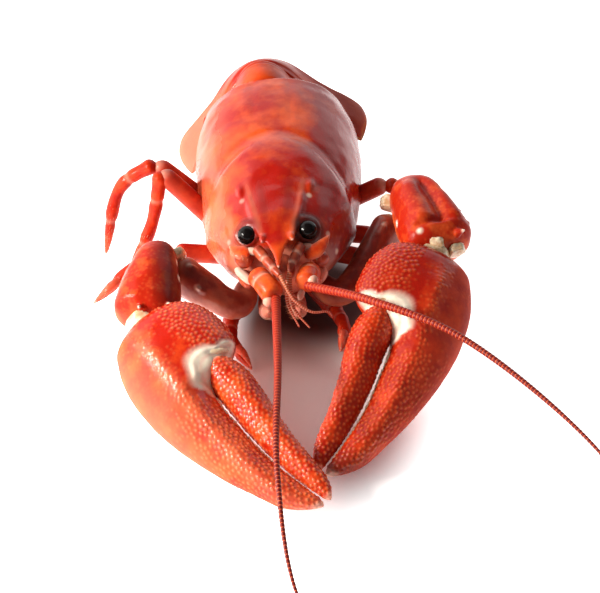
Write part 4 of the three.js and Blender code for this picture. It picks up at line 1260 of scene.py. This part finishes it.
def claw_place(side, arm):
    """Frame of a claw at its wrist: x to the tip, y outwards and tipped down by the roll, z up."""
    wrist, tip = Vector(arm["wrist"]), Vector(arm["tip"])
    turn = math.radians(arm["roll"])
    u = (tip - wrist).normalized()
    v = u.cross(Vector(UP)).normalized() * -side
    w = u.cross(v) * side
    outer = v * math.cos(turn) - w * math.sin(turn)
    normal = w * math.cos(turn) + v * math.sin(turn)
    return Matrix.Translation(wrist) @ Matrix((u, outer * side, normal)).transposed().to_4x4()


print("the claws are rolled outwards by", [arm["roll"] for arm in ARMS.values()], "degrees")

# %% [markdown]
# The biting edge of the fixed finger carries a fine pale row of teeth that shows in the gap. A roll of
# tougher skin edges the root of the moving finger. Both could be left to bump in the finish, but bump has no
# outline, so they are meshes. Hand and finger each get their grains from the tree.

# %% Hands, fingers, teeth and hinges
TOOTH_ROW, TOOTH_COUNT, TOOTH_SIZE = (0.45, 0.94), 70, 0.3
HINGE_ROLL = [(0.335, -0.7, 2.0), (0.325, -0.58, 3.1), (0.313, -0.42, 3.7), (0.308, -0.28, 3.7)]
HINGE_ROLL += [(0.33, -0.17, 3.2)]
HINGE_ROLL_RADIUS = [(0, 0.35), (0.3, 0.6), (0.7, 0.6), (1, 0.3)]
# Edges, thickness, rounded share of either end, points around and steps along
HAND = HAND_OUTER, HAND_INNER, HAND_THICK, (0.07, 0.04), 270, 330
FINGER = FINGER_OUTER, FINGER_INNER, FINGER_THICK, (0.03, 0.04), 170, 260
CLAW_GRAINS = (0.76, 0.46, 0.19, 0.3)


def tooth_row(name, side, seed):
    """A row of small pale teeth along the biting edge of the fixed finger."""
    u = np.linspace(*TOOTH_ROW, 40)
    v = (through(HAND_INNER, u) + 0.015) * CLAW_HALF_WIDTH * side
    w = 0.3 * through(HAND_THICK, u) * CLAW_HALF_THICKNESS
    line = line_object(np.stack([u * CLAW_LENGTH, v, w], -1))
    line.name = f"teeth_{name}"
    return grown(line, TEETH, Count=TOOTH_COUNT, Size=TOOTH_SIZE, Seed=seed, Finish=JOINT)


def hinge_roll(name, side):
    roll = [(u * CLAW_LENGTH, side * v * CLAW_HALF_WIDTH, w) for u, v, w in HINGE_ROLL]
    rings, *_ = limb(roll, HINGE_ROLL_RADIUS, HINGE_ROLL_RADIUS, caps=(0.1, 0.1), around=20, steps=48)
    return skin(f"hinge_{name}", rings)


for seed, (name, side) in enumerate(SIDES.items()):
    place = claw_place(side, ARMS[name])
    finish = SHELL[f"{name} claw"]
    rings, *where = flat_limb(side, 0, *HAND, hand_relief)
    palm = skin(f"hand_{name}", rings, hand_marks(*where, *HAND_FLANKS[name]))
    settle(grained(palm, finish, seed, CLAW_GRAINS), "claw", [f"claw_palm_{name}"], place=place)
    rings, *where = flat_limb(side, FINGER_FROM, *FINGER, finger_relief)
    finger = skin(f"finger_{name}", rings, finger_marks(*where))
    settle(grained(finger, finish, seed + 5, CLAW_GRAINS), "claw", [f"claw_finger_{name}"], place=place)
    settle(tooth_row(name, side, seed), "claw", finish=JOINT, place=place)
    settle(hinge_roll(name, side), "claw", finish=JOINT, place=place)

# %% [markdown]
# ## Claw arms
# Behind each hand sits a stout wrist with a few pale spines, and a longer arm that bends under the head.
# Spines could be cones set on the shell, but they should grow out of it and not look stuck on, so limbs are
# fused as for the carapace. A spine is given by its share along the limb, how far it stands to the outer
# side, how high, and its size. Cream skin shows where the pieces meet.

# %% Limbs with spines
LIMB_VOXEL, LIMB_ROUNDS = 0.2, 3


def on_ring(route, t, across, rise, width, height):
    """A point of a limb's surface, by its share along and its place across and up."""
    t = np.array([t])
    _, side, top = route.frame(t, UP)
    spot = route.at(t) + side * across * through(width, t)[:, None]
    return (spot + top * rise * through(height, t)[:, None])[0]


def spined_limb(name, points, width, height, spines, side, **options):
    """A limb with spines grown out of it, and the places of their tips."""
    rings, *_ = limb(points, width, height, around=96, steps=90, **options)
    parts, tips = [skin(name, rings)], []
    route = Route(points)
    for t, across, rise, size in spines:
        root = on_ring(route, t, 0.75 * across * side, 0.75 * rise, width, height)
        out = on_ring(route, t, across * side, rise, width, height) - root
        tip = root + out * 1.1 + route.heading(np.array([t]))[0] * 1.5 * size + unit(out) * 0.6 * size
        taper = [(0, 1.2 * size), (0.5, 0.8 * size), (1, 0.2 * size)]
        rings, *_ = limb([root, tip], taper, taper, (0.3, 0.2, 1), caps=(0.2, 0.1), around=14, steps=14)
        parts.append(skin("spine", rings))
        tips.append(tip)
    return fused(name, parts, LIMB_VOXEL, LIMB_ROUNDS), np.array(tips)


def limb_marks(points, tips, middle, grain, cream=0.85):
    """Cream spine tips, a paler underside and a share of grains on top."""
    near = np.min([np.linalg.norm(points - tip, axis=1) for tip in tips], axis=0)
    rise = points[:, 2] - middle
    return {
        "cream": ease(1.0, 0.35, near) * cream,
        "pale": 0.35 * ease(0.0, -3.0, rise),
        "deep": 0.55 * ease(-1, 2, rise),
        "grain": grain * ease(1.2, 2.2, near) * ease(-1.0, 2.0, rise),
    }


BENDS = {name: {key: np.array(value, float) for key, value in arm.items()} for name, arm in ARMS.items()}
for name, bends in BENDS.items():
    print(name, "wrist:", round(float(np.linalg.norm(bends["cuff"] - bends["elbow"])), 1), "mm long")

# %% Wrists
WRIST_WIDTH = [(0, 3.4), (0.3, 4.9), (0.7, 6.2), (1, 6.2)]
WRIST_HEIGHT = [(0, 3.8), (0.4, 5), (0.75, 5.2), (1, 4.4)]
WRIST_SPINES = {
    "left": [
        (0.86, -0.74, 0.67, 0.7),
        (0.96, 0.1, 0.95, 0.7),
        (0.22, -0.95, 0.3, 0.6),
        (0.43, -0.95, 0.3, 0.6),
    ],
    "right": [
        (0.84, -0.59, 0.81, 0.5),
        (0.92, 0.56, 0.83, 0.85),
        (0.53, -0.98, 0.2, 0.6),
    ],
}
WRIST_BUMPS = {
    "left": [],
    "right": [(0.25, 0.85, 0.5, 0.7), (0.42, 0.9, 0.45, 0.8), (0.58, 0.9, 0.45, 0.8), (0.74, 0.9, 0.4, 0.8)],
}
# Painted shade on the half of the left wrist that faces away from the lamp.
WRIST_SHADE = {"left": 0.65, "right": 0.0}
WRIST_GRAINS = (0.8, 0.4, 0.08, 0.9)


def wrist_groove(t, angle):
    """A lengthwise groove on the upper face between two lobes, and a crease that sets off the front lip."""
    across = np.cos(angle)
    lobes = 0.7 * bell(across + 0.5, 0.2) + 0.5 * bell(across - 0.35, 0.28)
    lobes = lobes - 1.1 * bell(across + 0.12, 0.15)
    crease = 0.9 * bell(t - 0.8, 0.03) * bell(across - 0.1, 0.5)
    top = ease(0.1, 0.5, np.sin(angle))
    return top * (lobes * ease(0.12, 0.35, t) * ease(0.86, 0.76, t) - crease)


WRIST_RELIEF = {"left": None, "right": wrist_groove}
for seed, (name, side) in enumerate(SIDES.items()):
    bends = BENDS[name]
    line = [bends["elbow"], bends["cuff"]]
    width = [(t, half * bends["girth"]) for t, half in WRIST_WIDTH]
    spines = WRIST_SPINES[name] + WRIST_BUMPS[name]
    options = {"power": 0.85, "caps": (0.22, 0.16), "relief": WRIST_RELIEF[name]}
    wrist, tips = spined_limb(f"wrist_{name}", line, width, WRIST_HEIGHT, spines, -side, **options)
    points = points_of(wrist.data)
    middle = 0.5 * (bends["elbow"] + bends["cuff"])
    marks = limb_marks(points, tips[: len(WRIST_SPINES[name])], middle[2], 0.6)
    # Painted shade, stronger towards +x, away from the lamp.
    marks["painted_shade"] = WRIST_SHADE[name] * ease(-1.5, 3, points[:, 0] - middle[0])
    marked(wrist.data, marks)
    grained(wrist, SHELL["wrist"], seed + 11, WRIST_GRAINS)
    settle(wrist, "claw", [f"claw_wrist_{name}"])

# %% Arms and joint skins
ARM_WIDTH = [(0, 2.2), (0.3, 2.6), (0.7, 3), (1, 3.3)]
ARM_HEIGHT = [(0, 2.2), (0.3, 2.5), (0.6, 3), (0.85, 4), (1, 3.8)]
ARM_SPINES = [(0.78, -0.2, 0.98, 1.0), (0.62, -0.75, 0.6, 0.9)]
ARM_MIDDLE = 9.0
ARM_GRAINS = (0.9, 0.4, 0.04, 0.9)
# Start, end and radius of each fold of soft skin
JOINT_SKINS = {
    "left": [
        ((-25.4, -29.6, 13), (-24, -33.6, 12), 3.0),
        ((-24.5, -30.4, 13.4), (-24.4, -32, 13.6), 1.2),
        ((-19.4, -14, 14.6), (-18, -15.6, 14.2), 1.7),
        ((-17.8, -15.4, 14.2), (-17.2, -16.6, 13.6), 0.7),
    ],
    "right": [
        ((27, -20, 17.4), (25.6, -23.8, 16.6), 3.2),
        ((27.4, -20.6, 19.6), (27, -22, 20), 1.3),
        ((30.6, -20.2, 18.2), (31.2, -21.9, 17.4), 1.6),
        ((21.4, -3, 17.4), (20.6, -5.4, 15.8), 1.9),
        ((20.6, -5, 14.8), (20.3, -6.4, 13.4), 0.9),
    ],
}


def cuff_folds(t, angle):
    return 0.15 * np.cos(16 * np.pi * t) + 0.12 * np.cos(5 * angle + 3 * t)


def cuff(points, radius):
    """Soft joint skin bulging out between two pieces of shell."""
    options = {"caps": (0.25, 0.25), "around": 40, "steps": 32, "relief": cuff_folds}
    rings, *_ = limb(points, radius, radius * 0.92, **options)
    return skin("cuff", rings)


for seed, (name, side) in enumerate(SIDES.items()):
    bends = BENDS[name]
    line = [bends["hip"], bends["bend"], bends["shoulder"]]
    shape = line, ARM_WIDTH, ARM_HEIGHT, ARM_SPINES
    upper, tips = spined_limb(f"arm_{name}", *shape, -side, caps=(0.12, 0.14))
    points = points_of(upper.data)
    marks = limb_marks(points, tips, ARM_MIDDLE, 0.15, 0.3)
    end = np.linalg.norm(points - bends["shoulder"], axis=1)
    marks["pale"] = np.maximum(marks["pale"], 0.8 * ease(6, 2.5, end))
    marked(upper.data, marks)
    grained(upper, SHELL["arm"], seed + 21, ARM_GRAINS)
    settle(upper, "claw", [f"claw_arm_{name}"])
    skins = [cuff([start, end], radius) for start, end, radius in JOINT_SKINS[name]]
    settle(joined(f"arm_joints_{name}", skins), "claw", finish=JOINT)

# %% [markdown]
# ## Walking legs
# Four pairs of thin legs fold beside the body. Each has a thigh and a shin of several short segments; the
# joints are narrower and paler. A chain of separate segments could be posed later, but cooked legs are
# stiff, so one limb with narrow stations makes a whole shin. The two front pairs end in a small pincer. Fine
# bristles stand on the feet.

# %% Where the legs bend
# Hip, knee, ankle and foot of each leg, from front to back
LEGS = {
    "left": [
        [(-5, -8, 3.2), (-9.4, -18.5, 2.7), (-9.4, -25.4, 2.6), (-6.2, -30.8, 0.5)],
        [(-7.8, -1.5, 4), (-19, -5.4, 8.4), (-25, -6, 7), (-34.5, -9.6, 0.5)],
        [(-8.4, 4, 4.8), (-21, 4, 20), (-23.4, 2, 9), (-28, -1, 0.5)],
        [(-8.4, 9, 5), (-22, 8.4, 19), (-28.8, 9, 13.5), (-32.4, 5.4, 0.5)],
    ],
    "right": [
        [(5, -8, 3.4), (9.6, -17.5, 2.9), (11, -22.6, 2.6), (10, -27, 0.5)],
        [(7.8, -1.5, 4.8), (17, -5, 4.6), (25, -6, 3.4), (33, -8.6, 0.5)],
        [(8.4, 4, 5), (18.5, 0.5, 6), (25.5, -1, 4.6), (33, -4.4, 0.5)],
        [(8.4, 9, 5.2), (21, 3.8, 15.6), (27.6, 4.4, 11), (31.6, 2.4, 0.5)],
    ],
}
print("walking legs:", sum(len(legs) for legs in LEGS.values()))

# %% Walking legs
LEG_UP = (0, 1, 0.2)
LEG_HAIR = (1.6, 0.7, 0.04)
THIGH = [(0, 1.8), (0.12, 1.6), (0.2, 1.75), (0.7, 1.75), (0.9, 1.7), (1, 1.5)]
SHIN = [(0, 1.4), (0.06, 1.5), (0.15, 1.3), (0.24, 1.3), (0.27, 1.15), (0.32, 1.3), (0.45, 1.15)]
SHIN += [(0.62, 1.25), (0.66, 1.15), (0.7, 0.92), (0.75, 0.98), (0.9, 0.6), (1, 0.18)]
SHIN_JOINTS = (0.27, 0.7)
PINCER_FROM = 0.6
PINCER = [(0, 0.9), (0.4, 0.75), (1, 0.15)]
PINCER_TILTS = {1: np.array([0, 0, 1.4]), 2: np.array([0, -1.3, 1.0])}


def thigh_skin(name, hip, knee):
    rings, t, angle = limb([hip, knee], THIGH, THIGH, LEG_UP, caps=(0.1, 0.1), around=36, steps=60)
    joints = bell(t - 0.12, 0.03) + ease(0.93, 0.99, t)
    under = ease(0.3, -0.6, np.sin(angle))
    marks = {"pale": 0.15 * joints + 0.2 * under, "cream": 0.15 * joints, "deep": 0.4 * ease(0.2, 0.6, t)}
    return skin(name, rings, marks)


def shin_skin(line):
    rings, t, angle = limb(line, SHIN, SHIN, LEG_UP, caps=(0.06, 0.03), around=36, steps=110)
    joints = bands(t, SHIN_JOINTS, 0.02)
    marks = {
        "pale": capped(0.2 * joints + 0.3 * ease(0.7, 1, t)),
        "cream": capped(0.08 * joints + 0.2 * ease(0.95, 1, t)),
        "deep": 0.4 * ease(0.1, 0.6, np.sin(angle)),
        "hairy": ease(0.45, 0.75, t),
    }
    return skin("shin", rings, marks)


def pincer_skin(line, tilt):
    """The moving half of a small pincer at the end of a leg."""
    start, middle, end = Route(line).at(np.array([PINCER_FROM, 0.8, 0.985]))
    route = [start, middle + tilt * 0.9, end + tilt * 0.35]
    rings, t, _ = limb(route, PINCER, PINCER, LEG_UP, caps=(0.1, 0.05), around=20, steps=30)
    marks = {"pale": 0.2 + 0.3 * t, "cream": 0.3 * ease(0.9, 1, t), "hairy": ease(0.1, 0.5, t)}
    return skin("pincer", rings, marks)


hairs = []
for name in SIDES:
    for index, (hip, knee, ankle, foot) in enumerate(LEGS[name], 1):
        thigh = thigh_skin(f"leg_{index}_{name}_thigh", hip, knee)
        settle(thigh, "leg", [f"leg_{index}_{name}_upper"], SHELL["leg"])
        line = [knee, ankle, foot]
        parts = [shin_skin(line)]
        if index in PINCER_TILTS:
            parts.append(pincer_skin(line, PINCER_TILTS[index]))
        shin = joined(f"leg_{index}_{name}_shin", parts)
        sweep = unit(np.array(foot) - np.array(ankle)) * 1.6
        hairs.append(bristles_on(shin, LEG_HAIR, sweep, index))
        settle(shin, "leg", [f"leg_{index}_{name}_lower"], SHELL["leg"])
settle(joined("leg_bristles", hairs), "leg", finish=BRISTLE)

# %% [markdown]
# ## Long feelers
# A long feeler is a whip of more than a hundred short rings on a thick jointed root. A smooth cone with a
# striped finish would look flat at its outline. The rings follow a line, so a node tree makes them: it
# divides the line, works out the radius at each place and sweeps a circle along it. A pale knob of joint
# skin sits where the whip leaves its root.

# %% Long feelers
FEELER_RADIUS, FEELER_TIP_RADIUS = 0.84, 0.16
FEELERS = {
    "left": {
        "root": (-5.0, -22.6, 15.7),
        "whip": [(-1.7, -28.6, 14.8), (-2.65, -50, 16.6), (-4.2, -74, 15.6), (-2.6, -93, 8.6), (3, -104, 3)],
        "knob": (-3.0, -28.9, 14.3),
    },
    "right": {
        "root": (4.8, -21.6, 15.1),
        "whip": [(3.8, -26.9, 15.9), (14, -37, 19.9), (28, -50, 21.4), (46, -77, 19.4), (51, -90, 16)],
        "knob": (4.9, -26.4, 16.6),
    },
}
RING_PITCH = 0.75
STEM_WIDTH = [(0, 1.8), (0.1, 2.0), (0.3, 2.0), (0.36, 1.8), (0.42, 2.05), (0.75, 2.15), (0.86, 2.05)]
STEM_WIDTH += [(1, 1.5)]
STEM_HEIGHT = [(t, 0.95 * half) for t, half in STEM_WIDTH]
STEM_JOINT = 0.36
KNOB_RADIUS = 1.0


def whip(name, points, root, tip, groove=0.18, sides=14, pitch=RING_PITCH, finish=WHIP):
    """A whip of rings along a route, from its radius at the root to its radius at the tip."""
    route = Route(points)
    line = line_object(route.at(np.linspace(0, 1, 160)))
    line.name = name
    sizes = {"Root": root, "Tip": tip, "Rings": round(route.length / pitch)}
    return grown(line, RINGS, **sizes, Groove=groove, Sides=sides, Finish=finish)


def knob_skin(centre):
    """A small ball of joint skin."""
    centre, up = np.array(centre), np.array([0, 0, KNOB_RADIUS])
    options = {"up": (1, 0, 0), "caps": (0.5, 0.5), "around": 28, "steps": 28}
    rings, *_ = limb([centre - up, centre + up], KNOB_RADIUS, KNOB_RADIUS, **options)
    return skin("knob", rings, {"pale": 0.6, "cream": 0.4})


def stem_skin(root, end):
    """The thick jointed root of a long feeler."""
    middle = root + (end - root) * 0.45 + (0, 0, 0.3)
    options = {"caps": (0.15, 0.1), "around": 48, "steps": 72}
    rings, t, _ = limb([root, middle, end], STEM_WIDTH, STEM_HEIGHT, **options)
    joints = bell(t - STEM_JOINT, 0.05)
    return skin("stem", rings, {"pale": 0.3 * joints + 0.2 * ease(0.85, 1, t), "cream": 0.3 * joints})


for name, feeler in FEELERS.items():
    stem = stem_skin(np.array(feeler["root"]), np.array(feeler["whip"][0]))
    stem = joined(f"feeler_stem_{name}", [stem, knob_skin(feeler["knob"])])
    settle(stem, "feeler", [f"feeler_root_{name}"], SHELL["feeler"])
    lash = whip(f"feeler_whip_{name}", feeler["whip"], FEELER_RADIUS, FEELER_TIP_RADIUS)
    settle(lash, "feeler", [f"feeler_{name}"])

# %% [markdown]
# ## Small feelers, scales and mouth legs
# Under the rostrum a pair of small feelers each ends in thin whips. Pointed scales with a bristly edge stand
# over the roots of the long feelers, small plates fill the space between, and a pair of bristly mouth legs
# is folded below. A picture on a flat face could stand for them, but their edges catch the light. They are
# made with the same limb, whip and bristle tools as the larger pieces.

# %% Scales
SCALES = {
    "left": [(-5.8, -20.4, 18.4), (-7.4, -19.8, 18.4), (-9.2, -17.6, 18)],
    "right": [(4.0, -21.2, 17.8), (6.2, -20, 18.5), (8.5, -17.4, 19.5)],
}
SCALE_WIDTH = [(0, 0.9), (0.35, 1.35), (0.7, 0.9), (1, 0.2)]
SCALE_HALF_THICKNESS = 0.45
SCALE_HAIR = (4.0, 1.1, 0.05)
face_hairs = []
for name in SIDES:
    options = {"up": (0, -0.6, 0.8), "caps": (0.1, 0.05), "around": 40, "steps": 48}
    rings, t, angle = limb(SCALES[name], SCALE_WIDTH, SCALE_HALF_THICKNESS, **options)
    edge = np.abs(np.cos(angle)) ** 4
    cream = capped(0.3 * ease(0.85, 1, t) + 0.2 * edge)
    marks = {"pale": 0.3 * ease(0.5, 1, t), "cream": cream, "hairy": edge}
    scale = skin(f"feeler_plate_{name}", rings, marks)
    face_hairs.append(bristles_on(scale, SCALE_HAIR, (0, -1.2, -0.6), 2))
    settle(scale, "feeler", [f"feeler_scale_{name}"], SHELL["feeler"])

# %% Small feelers
SMALL_STEMS = {
    "left": [(-4.6, -19.7, 19.1), (-2.9, -22.5, 18.4), (-0.7, -26.6, 17.9)],
    "right": [(3.4, -19.4, 19.2), (1.9, -22.5, 18.4), (0.9, -25, 17.4)],
}
SMALL_STEM_WIDTH = [(0, 1.0), (0.3, 1.05), (0.36, 0.8), (0.42, 0.95), (0.66, 0.85), (0.7, 0.65)]
SMALL_STEM_WIDTH += [(0.76, 0.75), (1, 0.5)]
SMALL_JOINTS = (0.36, 0.7)
# Painted shade on the root of the right small feeler, which lies in shadow.
SMALL_STEM_SHADE = {"left": 0.0, "right": 0.4}
SMALL_WHIPS = {
    "left": [
        [(-0.8, -26.4, 18), (1.5, -29, 14.4), (4.4, -30.5, 12.8), (7.4, -29.5, 11.8), (8.2, -29.5, 10.6)],
    ],
    "right": [
        [(0.9, -24.8, 17.5), (0.3, -28.5, 13.9), (2.3, -30, 9.1)],
        [(0.9, -24.8, 17.5), (1.5, -29, 12.6), (4.1, -31, 9.6)],
    ],
}
SMALL_RADIUS, SMALL_TIP_RADIUS = 0.42, 0.15
for name in SIDES:
    options = {"caps": (0.05, 0.05), "around": 28, "steps": 48}
    rings, t, _ = limb(SMALL_STEMS[name], SMALL_STEM_WIDTH, SMALL_STEM_WIDTH, **options)
    joints = bands(t, SMALL_JOINTS, 0.04)
    marks = {"pale": 0.1 + 0.4 * joints, "cream": capped(0.2 * joints), "painted_shade": SMALL_STEM_SHADE[name]}
    settle(skin(f"small_stem_{name}", rings, marks), "feeler", [f"small_feeler_{name}"], SHELL["face"])
    options = {"groove": 0.2, "sides": 10, "pitch": 0.42, "finish": THIN_WHIP}
    thin = [whip("thin", line, SMALL_RADIUS, SMALL_TIP_RADIUS, **options) for line in SMALL_WHIPS[name]]
    settle(joined(f"small_whips_{name}", thin), "feeler", finish=THIN_WHIP)

# %% Plates of the face
# Line of each plate, its radius, and how pale and how cream it is
FACE_PLATES = [
    ([(-6.0, -18.6, 16.9), (-7.6, -21.2, 17.1)], 1.7, 0.1, 0.0),
    ([(-8.4, -20.4, 15.4), (-5.4, -23.6, 14.2)], 0.85, 0.4, 0.55),
    ([(-7.4, -19, 13.6), (-5.6, -22.6, 12.6)], 1.3, 0.1, 0.0),
    ([(6.4, -18.4, 16.2), (7.2, -20.8, 15.8)], 1.6, 0.1, 0.0),
    ([(7.6, -19.4, 13.8), (5.8, -22.4, 13)], 1.2, 0.3, 0.1),
    ([(0, -18.5, 16), (0.2, -23.6, 15)], 2.2, 0.2, 0.05),
    ([(3.2, -26.2, 14.6), (2.5, -27.6, 13.2)], 0.6, 0.3, 0.3),
    ([(-6.4, -19.4, 18.5), (-4.2, -20.2, 18.6)], 0.7, 0.3, 0.5),
    ([(3.4, -19.6, 18.8), (5.6, -19.2, 18.4)], 0.8, 0.2, 0.25),
]
plates = []
for points, radius, pale, cream in FACE_PLATES:
    taper = [(0, 0.8 * radius), (0.5, radius), (1, 0.8 * radius)]
    rings, *_ = limb(points, taper, taper, caps=(0.25, 0.3), around=36, steps=36)
    plates.append(skin("plate", rings, {"pale": pale, "cream": cream}))
settle(joined("face_plates", plates), "shell", finish=SHELL["face"])

# %% Mouth legs
MOUTH_LEG = [(2.3, -13.5, 4.6), (2.8, -21, 6), (2.8, -25.4, 9.2)]
MOUTH_WIDTH = [(0, 1.6), (0.4, 1.75), (0.55, 1.4), (0.62, 1.6), (0.78, 1.2), (0.84, 1.25), (1, 0.5)]
MOUTH_JOINTS = (0.55, 0.81)
MOUTH_HAIR = (4.0, 1.5, 0.05)
for name, side in SIDES.items():
    options = {"caps": (0.12, 0.15), "around": 36, "steps": 60}
    rings, t, _ = limb(mirrored(side, MOUTH_LEG), MOUTH_WIDTH, MOUTH_WIDTH, **options)
    joints = bands(t, MOUTH_JOINTS, 0.04)
    cream = capped(0.15 + 0.4 * joints)
    marks = {"pale": 0.4 + 0.3 * joints, "cream": cream, "hairy": ease(0.2, 0.6, t)}
    mouth = skin(f"mouth_leg_{name}_shell", rings, marks)
    face_hairs.append(bristles_on(mouth, MOUTH_HAIR, (-side * 0.6, -0.8, 0.4), 4))
    settle(mouth, "leg", [f"mouth_leg_{name}"], SHELL["leg"])
settle(joined("mouth_bristles", face_hairs), "leg", finish=BRISTLE)
